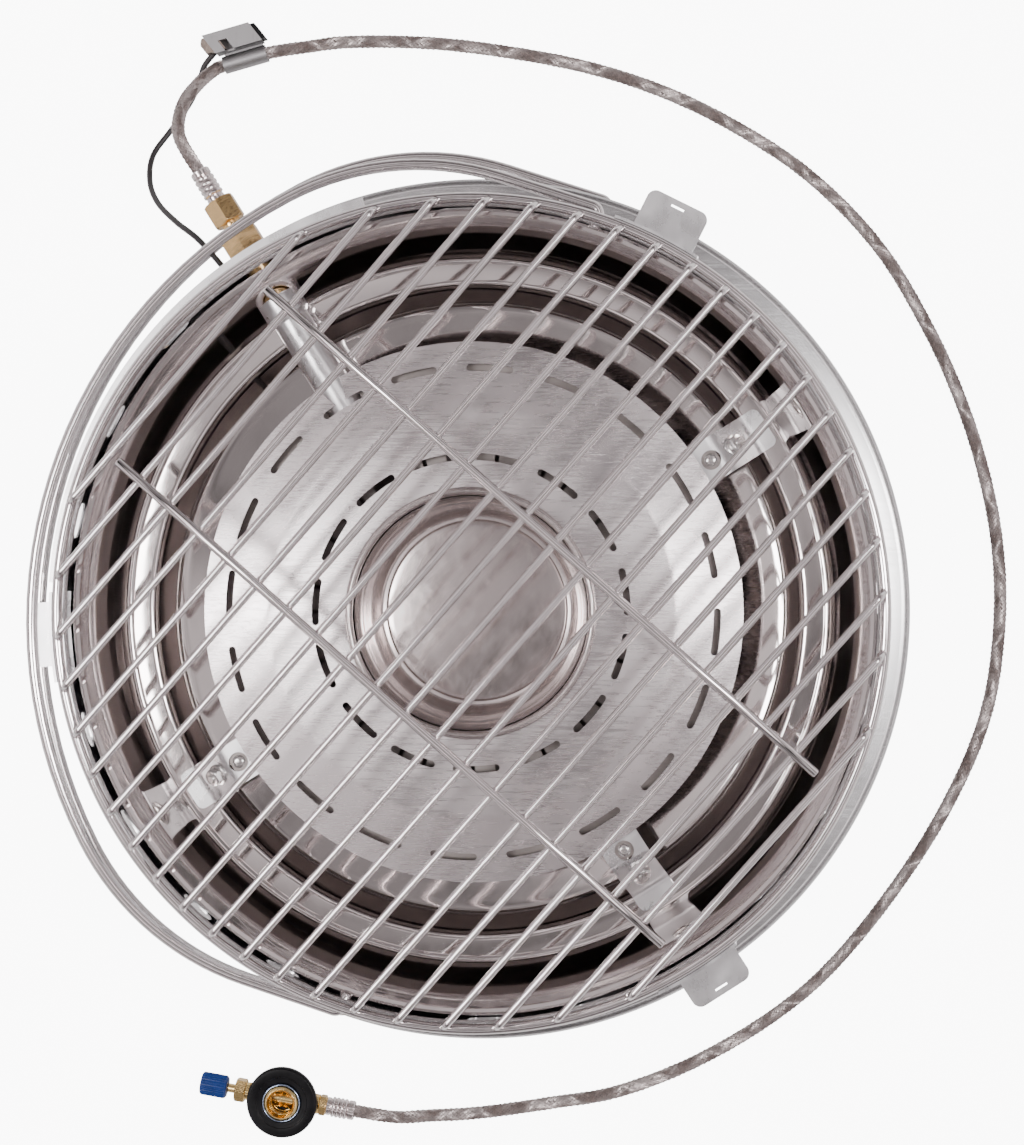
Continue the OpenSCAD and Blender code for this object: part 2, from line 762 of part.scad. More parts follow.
module gas_hose() {
    start = polar(hose_out, inlet_a, inlet_z);
    finish = valve_point(valve_ferrule_end, 0, valve_axis_z);
    color("rosybrown")
        sweep(smooth_run(concat([start], hose_points, [finish]), 2), polar(1, inlet_a, 0),
            [-cos(valve_a), -sin(valve_a), 0], hose_d, 12);
}

lead_points = [
    [-126, 242.5, 1.9], [-128.5, 235.5, 1.4], [-132.5, 226.5, 1.4], [-141, 214.5, 1.4], [-149, 202.5, 4],
    [-149, 190, 11], [-143, 179, 22], [-132, 169, 35], [-120, 160, 45]
];
lead_exit = [-12.6, 7.4, 2.4];

module ignition_lead() {
    start = igniter_point(lead_exit[0], lead_exit[1], lead_exit[2]);
    finish = polar(casing_r + bushing_out - 2, bushing_a, bushing_z);
    color("dimgray")
        sweep(smooth_run(concat([start], lead_points, [finish]), 2), [-cos(igniter_a), -sin(igniter_a), 0],
            -polar(1, bushing_a, 0), lead_d, 8);
}

// ---------- igniter on the hose ----------

igniter_c = [-106.9, 244.7];
igniter_a = 15.3;
sleeve_z = 4.3;
sleeve_l = 20;
housing_y = 5.3;
housing_z = 0.4;
housing_h = 9.2;
housing_x = -11.7;
rake = 0.43;

function igniter_point(x, y, z) = [
    igniter_c[0] + x * cos(igniter_a) - y * sin(igniter_a),
    igniter_c[1] + x * sin(igniter_a) + y * cos(igniter_a), z
];

module on_igniter() {
    translate([igniter_c[0], igniter_c[1], 0]) rotate([0, 0, igniter_a]) children();
}

// A raked block: its ends lean back as y grows
module raked(x, y, z, l, w, h) {
    lean = rake * w;
    shift = rake * (y - housing_y);
    translate([0, 0, z]) linear_extrude(h)
        polygon([[x - shift, y], [x + l - shift, y], [x + l - lean - shift, y + w], [x - lean - shift, y + w]]);
}

shell_t = 0.7;
core_gap = 0.1;
unit_w = igniter_w - 2 * (shell_t + core_gap);
unit_h = housing_h - 2 * (shell_t + core_gap);
unit_y = housing_y + shell_t + core_gap;
unit_z = housing_z + shell_t + core_gap;
unit_l = igniter_l - 10;
button_l = 6.4;
spring_gap = 3.6;
unit_x = housing_x - 1 + button_l + button_travel + spring_gap;

module igniter_housing() {
    color("darkgray") on_igniter() difference() {
        union() {
            raked(housing_x, housing_y, housing_z, igniter_l, igniter_w, housing_h);
            translate([-sleeve_l / 2, 0, sleeve_z]) rotate([0, 90, 0]) cylinder(d = hose_d + 2 * shell_t + 0.2, h = sleeve_l);
            translate([-sleeve_l / 2 + 1, 0, sleeve_z - hose_d / 2 - 0.5]) cube([sleeve_l - 2, housing_y + 0.2, 1.4]);
        }
        raked(housing_x - 5, housing_y + shell_t, housing_z + shell_t, igniter_l + 10,
            igniter_w - 2 * shell_t, housing_h - 2 * shell_t);
        translate([-sleeve_l / 2 - 1, 0, sleeve_z]) rotate([0, 90, 0]) cylinder(d = hose_d + 0.2, h = sleeve_l + 2);
        raked(housing_x + 4.6, housing_y - 0.1, housing_z + housing_h - 3.6, 4, 5.2, 5);
        translate([lead_exit[0] - 3, lead_exit[1], lead_exit[2]]) rotate([0, 90, 0])
            cylinder(d = lead_d + 0.6, h = 6, $fn = 32);
    }
}

module igniter_unit() {
    color("#202022") on_igniter() difference() {
        raked(unit_x, unit_y, unit_z, unit_l, unit_w, unit_h);
        translate([-3, unit_y + 2.6, housing_z + housing_h - 4.2]) cube([3.4, 2.2, 6]);
    }
}

button_w = unit_w - 2 * button_gap;
button_h = unit_h - 2 * button_gap - 3;
button_z = unit_z + button_gap + 3;

module igniter_button() {
    color("goldenrod") on_igniter() union() {
        raked(housing_x - 1, unit_y + button_gap, button_z, button_l, button_w, button_h);
        translate([housing_x - 3.6, 0, 0]) intersection() {
            raked(0, unit_y + button_gap, button_z, 5, button_w, button_h);
            translate([5.8 - rake * 5, unit_y + unit_w / 2, button_z]) cylinder(r = 5.8, h = button_h);
        }
    }
}

// ---------- canister valve ----------

module on_valve() {
    translate([valve_c[0], valve_c[1], 0]) rotate([0, 0, valve_a]) children();
}

// Local Z runs along the valve's line, from the knob to the hose
module along_valve(x) {
    on_valve() translate([x, 0, valve_axis_z]) rotate([0, 90, 0]) children();
}

body_d = 19;
collar_z = 17;
collar_t = 3.2;
collar_bore = 17.4;
ring_in = 15.4;
neck_top = collar_z + collar_t + 1;
socket_d = 15;
socket_depth = 12;
pin_base_z = neck_top - socket_depth;
relief_h = 3.2;
port_d = 8;

module valve_body() {
    color("goldenrod") difference() {
        union() {
            on_valve() cylinder(d = body_d, h = collar_z - 1.6);
            on_valve() cylinder(d = socket_d, h = neck_top);
            along_valve(-16) cylinder(d = port_d + 0.8, h = 32);
        }
        on_valve() translate([0, 0, pin_base_z]) cylinder(r = socket_r, h = socket_depth + 1);
        on_valve() translate([0, 0, pin_base_z]) cylinder(r = socket_r + 0.5, h = relief_h);
        on_valve() translate([0, 0, neck_top - 1.4]) cylinder(r1 = socket_r, r2 = socket_r + 1.4, h = 1.4 + eps);
        along_valve(-17) cylinder(r = 2 + spindle_gap, h = 11, $fn = 48);
        along_valve(-17) cylinder(d = 6, h = 5, $fn = 48);
        on_valve() translate([0, 0, 4]) cylinder(d = 1.6, h = pin_base_z, $fn = 24);
        along_valve(11) cylinder(d = 4, h = 6, $fn = 24);
    }
}

module valve_collar() {
    color("#101012") on_valve() translate([0, 0, collar_z - 1.6]) difference() {
        union() {
            cylinder(d = collar_d, h = collar_t);
            translate([0, 0, collar_t]) cylinder(d1 = collar_d, d2 = collar_d - 1.6, h = 0.8);
        }
        translate([0, 0, -1]) cylinder(d = socket_d, h = collar_t + 3);
        translate([0, 0, collar_t - 1]) cylinder(d = collar_bore, h = 3);
    }
}

module collar_ring() {
    color("lightsteelblue") on_valve() translate([0, 0, collar_z - 2.6 + collar_t])
        tube(collar_bore, ring_in, 2.2);
}

module socket_seal() {
    color("#151515") on_valve() translate([0, 0, pin_base_z]) tube(2 * socket_r, 6.4, 1.6);
}

module depressor_pin() {
    color("goldenrod") on_valve() translate([0, 0, pin_base_z]) union() {
        cylinder(d = 5.6, h = 1, $fn = 48);
        translate([0, 0, 1]) cylinder(d = 2, h = 2, $fn = 32);
    }
}

gland_x = -22.6;
gland_l = 6.6;

module packing_nut() {
    color("goldenrod") along_valve(gland_x) difference() {
        union() {
            hex_bar(9.6, gland_l - 1.8);
            cylinder(d = 8, h = gland_l);
            cylinder(d = 5.8, h = gland_l + 3);
        }
        translate([0, 0, -1]) cylinder(r = 2 + spindle_gap, h = gland_l + 6, $fn = 48);
    }
}

knob_x = -38.4;

module valve_spindle() {
    color("goldenrod") along_valve(knob_x + 4) union() {
        cylinder(r = 2, h = 22, $fn = 48);
        translate([0, 0, 22]) cylinder(r1 = 2, r2 = 0.6, h = 3, $fn = 48);
    }
}

rib_count = 30;

module valve_knob() {
    color("#2a4a8c") along_valve(knob_x) difference() {
        union() {
            cylinder(d = knob_d - 0.7, h = knob_l);
            for (i = [0 : rib_count - 1]) rotate([0, 0, i * 360 / rib_count])
                translate([knob_d / 2 - 0.7, -0.28, 0]) cube([0.7, 0.56, knob_l]);
        }
        translate([0, 0, 4]) cylinder(r = 2, h = knob_l, $fn = 48);
    }
}

module valve_hose_nut() {
    color("goldenrod") along_valve(16) difference() {
        hex_bar(8.4, 3);
        translate([0, 0, -1]) cylinder(d = 4, h = 5);
    }
}

module valve_ferrule() {
    color("silver") along_valve(19) ferrule(valve_ferrule_end + 1 - 19);
}

// ---------- stand loops ----------

end_bend = 3.4;
corner_r = 118;
loop_tip = wall_in - 4.6;

// Torus piece round [u, v], from angle a0 to a1
module wire_arc(u, v, r, a0, a1, d) {
    translate([u, v, 0]) rotate([0, 0, a0]) rotate_extrude(angle = a1 - a0)
        translate([r, 0]) circle(d = d, $fn = 48);
}

// Half of a loop: v is its leg's distance and u its bar's, both from the axis
module half_loop(v, u) {
    // The leg, the corner and the bar meet in line, 45 degrees round
    corner_v = v - corner_r;
    bar_r = corner_r + corner_v * sqrt(2);
    leg_l = u - bar_r + corner_v;
    translate([0, loop_tip, 0]) rotate([-90, 0, 0])
        cylinder(d = loop_d, h = v - end_bend - loop_tip + lap, $fn = 48);
    wire_arc(end_bend, v - end_bend, end_bend, 90, 180, loop_d - hair);
    translate([end_bend - lap, v, 0]) rotate([0, 90, 0])
        cylinder(d = loop_d, h = leg_l - end_bend + 2 * lap, $fn = 48);
    wire_arc(leg_l, corner_v, corner_r, 45, 90, loop_d - hair);
}

module loop(z, leg_gap, bar_gap) {
    v = casing_r + leg_gap;
    bar_r = corner_r + (v - corner_r) * sqrt(2);
    rotate([0, 0, stand_a]) translate([0, 0, z]) union() {
        half_loop(v, casing_r + bar_gap);
        mirror([0, 1, 0]) half_loop(v, casing_r + bar_gap);
        wire_arc(casing_r + bar_gap - bar_r, 0, bar_r, -45.05, 45.05, loop_d);
    }
}

module front_loop() {
    color("white") loop(front_z, front_leg_gap, front_bar_gap);
}

module rear_loop() {
    color("lightgray") loop(rear_z, rear_leg_gap, rear_bar_gap);
}

plate_t = 0.8;

module loop_washers(z) {
    color("silver") for (t = pivot_turns) radial(stand_a + t, z)
        translate([0, 0, wall_in - plate_t - 1.3]) tube(9, loop_d, 1);
}

module pivot_plates(z, z0, z1) {
    color("gainsboro") difference() {
        for (t = pivot_turns)
            wall_band(wall_in - plate_t, wall_in, z0, z1, stand_a + t - plate_half_a, stand_a + t + plate_half_a);
        for (t = pivot_turns) radial_hole(stand_a + t, z, loop_d + 2 * pivot_gap);
        plate_holes();
    }
}

module plate_rivets() {
    color("silver") for (t = pivot_turns, z = [front_z, rear_z], s = [-1, 1])
        radial(stand_a + t + s * plate_rivet_a, z)
            translate([0, 0, wall_in - plate_t - 0.05]) rivet(sheet + plate_t + 0.1);
}

rear_shell();
outer_casing();
carrying_flange();
outer_reflector();
inner_reflector();
heat_plate();
hub_ring();
hub_cup();
burner_pan();
burner_grid();
venturi_tube();
gas_jet();
inlet_fitting();
inlet_nut();
hose_nut();
inlet_ferrule();
inlet_shield();
guard_ring();
guard_rods();
guard_cross_rods();
clip(1);  // guard_clip_1
clip(2);  // guard_clip_2
clip(3);  // guard_clip_3
clip_backings();
clip_rivets();
bracket(1);  // plate_bracket_1
bracket(2);  // plate_bracket_2
bracket(3);  // plate_bracket_3
bracket_nuts();
bracket_studs();
tab_rivets();
electrode_ceramic();
electrode_wire();
electrode_lead();
lead_bushing();
ignition_lead();
igniter_housing();
igniter_unit();
igniter_button();
gas_hose();
valve_ferrule();
valve_hose_nut();
valve_body();
valve_collar();
collar_ring();
socket_seal();
depressor_pin();
packing_nut();
valve_spindle();
valve_knob();
front_loop();
rear_loop();
loop_washers(front_z);  // loop_washers_front
loop_washers(rear_z);  // loop_washers_rear
pivot_plates(front_z, rim_z - 3, casing_top - 4);  // pivot_plates_front
pivot_plates(rear_z, wall_z + 1, rear_z + 7);  // pivot_plates_rear
plate_rivets();
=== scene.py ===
"""Outdoor dish heater: the looks around the packed frame, laid out as an add-on."""

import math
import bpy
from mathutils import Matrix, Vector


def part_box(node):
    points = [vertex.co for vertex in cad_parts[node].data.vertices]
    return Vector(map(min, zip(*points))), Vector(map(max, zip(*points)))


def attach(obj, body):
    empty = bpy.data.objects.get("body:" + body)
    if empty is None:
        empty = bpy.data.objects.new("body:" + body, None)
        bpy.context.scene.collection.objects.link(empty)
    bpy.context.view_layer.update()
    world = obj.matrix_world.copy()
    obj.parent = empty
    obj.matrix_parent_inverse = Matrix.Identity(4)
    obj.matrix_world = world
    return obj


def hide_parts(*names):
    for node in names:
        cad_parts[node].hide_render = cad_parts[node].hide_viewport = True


bl_info = {
    "name": "Outdoor Dish Heater",
    "version": (1, 0, 0),
    "blender": (4, 5, 0),
    "location": "View3D > Sidebar > Heater",
    "description": "Builds a round gas heater with a mirror dish, wire guard, braided hose and canister valve",
    "category": "Object",
}

import bmesh
import bpy
from mathutils import Matrix, Vector
from mathutils.geometry import delaunay_2d_cdt

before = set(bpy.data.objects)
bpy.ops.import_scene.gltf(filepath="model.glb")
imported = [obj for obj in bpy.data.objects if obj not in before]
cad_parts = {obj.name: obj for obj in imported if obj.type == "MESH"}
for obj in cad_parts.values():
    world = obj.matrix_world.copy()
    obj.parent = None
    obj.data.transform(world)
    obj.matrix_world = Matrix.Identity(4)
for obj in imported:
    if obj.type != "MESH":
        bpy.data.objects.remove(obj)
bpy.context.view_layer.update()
MM = 0.001
TAU = 2 * math.pi

# ---------------------------------------------------------------- sizes shared with the frame, in mm
CASING_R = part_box("outer_casing")[1][0] / MM
CASING_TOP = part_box("outer_casing")[1][2] / MM
SHEET = 0.8
WALL_Z = 30.8
RIM_R, RIM_Z = 169.0, 70.0
LEDGE_R, LEDGE_Z = 149.0, 45.0
STEP_R, FLOOR_Z = 134.0, 28.0
PLATE_R, PLATE_Z = 114.5, 62.0
CREASE_R, CREASE_Z = 87.0, 66.5
HUB_R, HUB_Z = 53.5, 69.0
DISC_R, DISC_Z = 39.0, 39.0
RING_R, RING_Z, RING_D = 172.4, 87.2, 4.4
ROD_Z, ROD_D, ROD_COUNT, ROD_SPAN, ROD_ANGLE = 95.5, 3.3, 20, 309.2, 48.7
CROSS_Z, CROSS_D, CROSS_L, CROSS_GAP = 98.85, 4.0, 300.0, 47.0
LOOP_D, LOOP_ANGLE, LOOP_CORNER = 5.0, 162.0, 118.0
FRONT_Z, REAR_Z = 74.0, 38.0
INLET_A, INLET_Z = 122.0, 56.4
BUSHING_A, BUSHING_Z = 126.2, 50.0
CLIP_A, BRACKET_A = 63.3, 32.6
BRACKET_TURNS = (0, 180, 270)
HOSE_D, LEAD_D = 6.2, 2.6
VALVE_C, VALVE_A, VALVE_Z = (-89.4, -220.6), -9.4, 9.0
IGNITER_C, IGNITER_A = (-106.9, 244.7), 15.3


# ---------------------------------------------------------------- user settings
class HeaterSizes(bpy.types.PropertyGroup):
    """Sizes of the fine detail"""

    round_steps: bpy.props.IntProperty(
        name="Round Steps", description="Segments round the big pressed sheets", default=288, min=96, max=480
    )
    wire_sides: bpy.props.IntProperty(
        name="Wire Sides", description="Segments round a guard or stand wire", default=20, min=8, max=32
    )
    braid_wires: bpy.props.IntProperty(
        name="Braid Wires", description="Fine wires in the hose braid, half of them each way", default=72, min=16,
        max=72
    )
    braid_pitch: bpy.props.FloatProperty(
        name="Braid Pitch", description="Length of hose in which one wire goes once round", default=0.021,
        unit="LENGTH"
    )
    knob_ribs: bpy.props.IntProperty(
        name="Knob Ribs", description="Grip ribs round the control knob", default=30, min=12, max=48
    )


class HeaterColours(bpy.types.PropertyGroup):
    """Colours of the main finishes"""

    wire: bpy.props.FloatVectorProperty(
        name="Bright Wire", description="Colour of the plated wire", subtype="COLOR", size=3,
        default=(0.83, 0.79, 0.79)
    )
    mirror: bpy.props.FloatVectorProperty(
        name="Dish Mirror", description="Colour of the polished dish", subtype="COLOR", size=3,
        default=(0.80, 0.75, 0.74)
    )
    brass: bpy.props.FloatVectorProperty(
        name="Brass", description="Colour of the turned brass", subtype="COLOR", size=3, default=(0.90, 0.63, 0.31)
    )
    knob: bpy.props.FloatVectorProperty(
        name="Knob Blue", description="Colour of the control knob", subtype="COLOR", size=3,
        default=(0.012, 0.045, 0.22)
    )


def sizes():
    return bpy.context.scene.heater_sizes


def colours():
    return bpy.context.scene.heater_colours


# ---------------------------------------------------------------- node and mesh helpers
def add(tree, kind, inputs=None, **settings):
    """Adds a node, sets its settings, and links or sets its inputs."""
    node = tree.nodes.new(kind)
    for key, value in settings.items():
        setattr(node, key, value)
    for key, value in (inputs or {}).items():
        socket = node.inputs[key]
        if isinstance(value, bpy.types.NodeSocket):
            tree.links.new(value, socket)
        else:
            socket.default_value = value
    return node


def ramp(tree, factor, stops, interpolation="LINEAR"):
    """A colour ramp through the given (place, colour) stops."""
    node = add(tree, "ShaderNodeValToRGB", {"Fac": factor})
    node.color_ramp.interpolation = interpolation
    elements = node.color_ramp.elements
    while len(elements) < len(stops):
        elements.new(0.5)
    for element, (place, value) in zip(elements, stops):
        element.position = place
        element.color = (*value, 1) if len(value) == 3 else value
    return node.outputs["Color"]


def link_mesh(name, bm, materials, smooth_angle=38.0):
    """Turns a bmesh into a smooth-shaded object that keeps its hard edges."""
    mesh = bpy.data.meshes.new(name)
    bm.to_mesh(mesh)
    bm.free()
    for material in materials:
        mesh.materials.append(material)
    for polygon in mesh.polygons:
        polygon.use_smooth = True
    mesh.set_sharp_from_angle(angle=math.radians(smooth_angle))
    piece = bpy.data.objects.new(name, mesh)
    bpy.context.scene.collection.objects.link(piece)
    return piece


def settle(piece, body, slot, *nodes):
    """Says what the piece rides on, which finish slot it has and which nodes it stands for."""
    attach(piece, body)
    if nodes:
        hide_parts(*nodes)
    return piece


def radial(angle, height):
    """Places a piece made along Z on the radial line at this angle, in mm."""
    return (
        Matrix.Rotation(math.radians(angle), 4, "Z")
        @ Matrix.Translation((0, 0, height))
        @ Matrix.Rotation(math.radians(90), 4, "Y")
    )


def spin_z(angle):
    return Matrix.Rotation(math.radians(angle), 4, "Z")


def on_valve(x=None):
    """Places a piece on the valve: standing up, or lying along its line at x, in mm."""
    base = Matrix.Translation((VALVE_C[0], VALVE_C[1], 0)) @ spin_z(VALVE_A)
    if x is None:
        return base
    return base @ Matrix.Translation((x, 0, VALVE_Z)) @ Matrix.Rotation(math.radians(90), 4, "Y")


def skin(run, thickness):
    """Closed outline of a sheet that follows a run of (r, z) points, thickness to its left."""
    points = [Vector(p) for p in run]
    out = []
    for i, point in enumerate(points):
        before = points[max(i - 1, 0)], points[max(i, 1)]
        after = points[min(i, len(points) - 2)], points[min(i + 1, len(points) - 1)]
        sides = []
        for a, b in (before, after):
            d = (b - a).normalized()
            sides.append(Vector((-d.y, d.x)))
        m = sides[0] + sides[1]
        out.append(point + m * (thickness * 2 / m.dot(m)))
    return points + out[::-1]


def smooth_run(points, steps):
    """Catmull-Rom curve through the points, of any dimension."""
    points = [Vector(p) for p in points]
    out = []
    for i in range(len(points) - 1):
        a, b, c, d = points[max(i - 1, 0)], points[i], points[i + 1], points[min(i + 2, len(points) - 1)]
        for k in range(steps):
            t = k / steps
            out.append(
                0.5 * (2 * b + (c - a) * t + (2 * a - 5 * b + 4 * c - d) * t * t + (3 * b - a - 3 * c + d) * t ** 3)
            )
    out.append(points[-1])
    return out


def rounded(points, radius, steps=4):
    """Rounds the corners of a run of (r, z) points."""
    points = [Vector(p) for p in points]
    out = [points[0]]
    for a, b, c in zip(points, points[1:], points[2:]):
        reach = min(radius, (b - a).length * 0.45, (c - b).length * 0.45)
        start, end = b + (a - b).normalized() * reach, b + (c - b).normalized() * reach
        for k in range(steps + 1):
            t = k / steps
            out.append((1 - t) ** 2 * start + 2 * t * (1 - t) * b + t * t * end)
    out.append(points[-1])
    return out


def lathe_into(bm, outline, matrix=Matrix(), segments=None, flats=None, sweep=None, index=0):
    """Revolves a closed (r, z) outline in mm. flats is (sides, across, z0, z1); sweep is (a0, a1)."""
    segments = segments or sizes().round_steps
    a0, a1 = sweep or (0, 360)
    closed = sweep is None
    count = segments if closed else max(3, int(segments * (a1 - a0) / 360)) + 1
    columns = []
    for j in range(count):
        turn = math.radians(a0 + (a1 - a0) * j / (count if closed else count - 1))
        column = []
        for r, z in outline:
            radius = r
            if flats and flats[2] - 1e-6 <= z <= flats[3] + 1e-6 and r > flats[1] * 0.42:
                part = TAU / flats[0]
                local = (turn % part) - part / 2
                radius = min(r, flats[1] / 2 / math.cos(local))
            column.append(bm.verts.new(matrix @ Vector((radius * math.cos(turn), radius * math.sin(turn), z)) * MM))
        columns.append(column)
    size = len(outline)
    for j in range(count if closed else count - 1):
        left, right = columns[j], columns[(j + 1) % count]
        for i in range(size):
            k = (i + 1) % size
            face = bm.faces.new((left[i], right[i], right[k], left[k]))
            face.material_index = index
    if not closed:
        for column in (columns[0], columns[-1]):
            bm.faces.new(column).material_index = index


def finish_mesh(bm, weld=1e-6):
    """Closes poles and turns every face outwards."""
    bmesh.ops.remove_doubles(bm, verts=bm.verts, dist=weld)
    bmesh.ops.dissolve_degenerate(bm, dist=weld, edges=bm.edges)
    bmesh.ops.recalc_face_normals(bm, faces=bm.faces)


def lathe(name, outline, material, **options):
    bm = bmesh.new()
    lathe_into(bm, outline, **options)
    finish_mesh(bm)
    return link_mesh(name, bm, [material])


def lathes(name, parts, material, **shared):
    """Several revolved outlines in one piece; each part is a dict of lathe options."""
    bm = bmesh.new()
    for part in parts:
        one = bmesh.new()
        lathe_into(one, **{**shared, **part})
        finish_mesh(one)
        mesh = bpy.data.meshes.new("part")
        one.to_mesh(mesh)
        one.free()
        bm.from_mesh(mesh)
        bpy.data.meshes.remove(mesh)
    return link_mesh(name, bm, [material])


def sweep_into(bm, path, radius, sides, closed=False, index=0, cap=True, bevel=0.0):
    """A tube along a path in mm, with its ends capped and softened; it keeps a steady twist."""
    path = [Vector(p) for p in path]
    count = len(path)
    tangents = []
    for i in range(count):
        a = path[i - 1] if (i or closed) else path[0]
        b = path[(i + 1) % count] if (i < count - 1 or closed) else path[-1]
        tangents.append((b - a).normalized())
    side = tangents[0].cross(Vector((0, 0, 1)))
    if side.length < 1e-3:
        side = tangents[0].cross(Vector((1, 0, 0)))
    side.normalize()
    rings = []
    spans = [(path[i], tangents[i], radius) for i in range(count)]
    if bevel and not closed:
        spans[0] = (path[0] + tangents[0] * bevel, tangents[0], radius)
        spans[-1] = (path[-1] - tangents[-1] * bevel, tangents[-1], radius)
        spans.insert(0, (path[0], tangents[0], radius - bevel))
        spans.append((path[-1], tangents[-1], radius - bevel))
    for centre, tangent, r in spans:
        side = (side - tangent * side.dot(tangent)).normalized()
        up = tangent.cross(side)
        rings.append(
            [
                bm.verts.new(
                    (centre + r * (side * math.cos(TAU * k / sides) + up * math.sin(TAU * k / sides))) * MM
                )
                for k in range(sides)
            ]
        )
    for i in range(len(rings) if closed else len(rings) - 1):
        a, b = rings[i], rings[(i + 1) % len(rings)]
        for k in range(sides):
            bm.faces.new((a[k], a[(k + 1) % sides], b[(k + 1) % sides], b[k])).material_index = index
    if cap and not closed:
        bm.faces.new(rings[0][::-1]).material_index = index
        bm.faces.new(rings[-1]).material_index = index


def tube(name, path, radius, material, sides=None, closed=False, bevel=0.0):
    bm = bmesh.new()
    sweep_into(bm, path, radius, sides or sizes().wire_sides, closed, bevel=bevel)
    bmesh.ops.recalc_face_normals(bm, faces=bm.faces)
    return link_mesh(name, bm, [material], 50)


def flat_sheet(loops, holes):
    """Triangulates a flat region: open or closed loops of 2-D points, and holes that each carry an inside test."""
    verts, edges = [], []
    for loop, ring in loops:
        start = len(verts)
        verts += [Vector(p) for p in loop]
        last = len(loop) if ring else len(loop) - 1
        edges += [(start + i, start + (i + 1) % len(loop)) for i in range(last)]
    for loop, _ in holes:
        start = len(verts)
        verts += [Vector(p) for p in loop]
        edges += [(start + i, start + (i + 1) % len(loop)) for i in range(len(loop))]
    points, _, faces, *_ = delaunay_2d_cdt(verts, edges, [], 0, 1e-5)
    kept = []
    for face in faces:
        centre = sum((points[i] for i in face), Vector((0, 0))) / len(face)
        if not any(inside(centre) for _, inside in holes):
            kept.append(face)
    return points, kept


def spread(name, template, places, material):
    """Geometry Nodes: sets a copy of the template at each (matrix) place and bakes one plain mesh."""
    tree = bpy.data.node_groups.get("Fastener Row") or fastener_tree()
    mesh = bpy.data.meshes.new(name)
    mesh.from_pydata([m.translation * MM for m in places], [], [])
    turns = mesh.attributes.new("turn", "FLOAT_VECTOR", "POINT")
    for i, m in enumerate(places):
        turns.data[i].vector = m.to_euler()
    holder = bpy.data.objects.new(name + ".row", mesh)
    bpy.context.scene.collection.objects.link(holder)
    modifier = holder.modifiers.new("row", "NODES")
    modifier.node_group = tree
    for item in tree.interface.items_tree:
        if item.item_type == "SOCKET" and item.in_out == "INPUT":
            if item.name == "Template":
                modifier[item.identifier] = template
            elif item.name == "Finish":
                modifier[item.identifier] = material
    piece = bake(holder, name, modifier)
    bpy.data.objects.remove(template)
    return piece


def bake(holder, name, modifier, smooth_angle=38.0):
    """Turns a Geometry Nodes result into a plain mesh object and drops the holder."""
    bpy.context.view_layer.update()
    evaluated = holder.evaluated_get(bpy.context.evaluated_depsgraph_get())
    mesh = bpy.data.meshes.new_from_object(evaluated)
    holder.modifiers.remove(modifier)
    bpy.data.objects.remove(holder)
    mesh.name = name
    for attribute in [a.name for a in mesh.attributes if a.name == "turn"]:
        mesh.attributes.remove(mesh.attributes[attribute])
    for polygon in mesh.polygons:
        polygon.use_smooth = True
    mesh.set_sharp_from_angle(angle=math.radians(smooth_angle))
    piece = bpy.data.objects.new(name, mesh)
    bpy.context.scene.collection.objects.link(piece)
    return piece


def new_tree(name, sockets):
    """An empty Geometry Nodes tree with named inputs and one geometry output."""
    tree = bpy.data.node_groups.new(name, "GeometryNodeTree")
    tree.interface.new_socket("Geometry", in_out="INPUT", socket_type="NodeSocketGeometry")
    for label, kind, value in sockets:
        socket = tree.interface.new_socket(label, in_out="INPUT", socket_type=kind)
        if value is not None:
            socket.default_value = value
    tree.interface.new_socket("Geometry", in_out="OUTPUT", socket_type="NodeSocketGeometry")
    return tree, tree.nodes.new("NodeGroupInput").outputs


def end_tree(tree, geometry, material):
    realized = add(tree, "GeometryNodeRealizeInstances", {"Geometry": geometry})
    finished = add(tree, "GeometryNodeSetMaterial", {"Geometry": realized.outputs[0], "Material": material})
    add(tree, "NodeGroupOutput", {"Geometry": finished.outputs[0]})
    return tree


def fastener_tree():
    """Geometry Nodes tree that sets the template on every point, turned by the point's own angles."""
    tree, inputs = new_tree(
        "Fastener Row", [("Template", "NodeSocketObject", None), ("Finish", "NodeSocketMaterial", None)]
    )
    info = add(tree, "GeometryNodeObjectInfo", {"Object": inputs["Template"]}, transform_space="ORIGINAL")
    turn = add(tree, "GeometryNodeInputNamedAttribute", {"Name": "turn"}, data_type="FLOAT_VECTOR")
    rotation = add(tree, "FunctionNodeEulerToRotation", {"Euler": turn.outputs["Attribute"]})
    placed = add(
        tree,
        "GeometryNodeInstanceOnPoints",
        {"Points": inputs["Geometry"], "Instance": info.outputs["Geometry"], "Rotation": rotation.outputs[0]},
    )
    return end_tree(tree, placed.outputs[0], inputs["Finish"])


# ---------------------------------------------------------------- finishes
def finish_base(name, colour, metallic, roughness):
    """A new material with its tree, shader and object coordinates."""
    material = bpy.data.materials.new(name)
    material.use_nodes = True
    tree = material.node_tree
    shader = tree.nodes["Principled BSDF"]
    shader.inputs["Base Color"].default_value = (*colour, 1)
    shader.inputs["Metallic"].default_value = metallic
    shader.inputs["Roughness"].default_value = roughness
    return material, tree, shader, add(tree, "ShaderNodeTexCoord").outputs["Object"]


def bump(tree, shader, height, strength, distance):
    node = add(tree, "ShaderNodeBump", {"Height": height, "Strength": strength, "Distance": distance})
    tree.links.new(node.outputs["Normal"], shader.inputs["Normal"])


def gloss_range(tree, shader, value, span, rough):
    """Drives the roughness from a value: span is the value's low and high, rough the roughness there."""
    ends = {"From Min": span[0], "From Max": span[1], "To Min": rough[0], "To Max": rough[1]}
    node = add(tree, "ShaderNodeMapRange", {"Value": value, **ends})
    tree.links.new(node.outputs[0], shader.inputs["Roughness"])


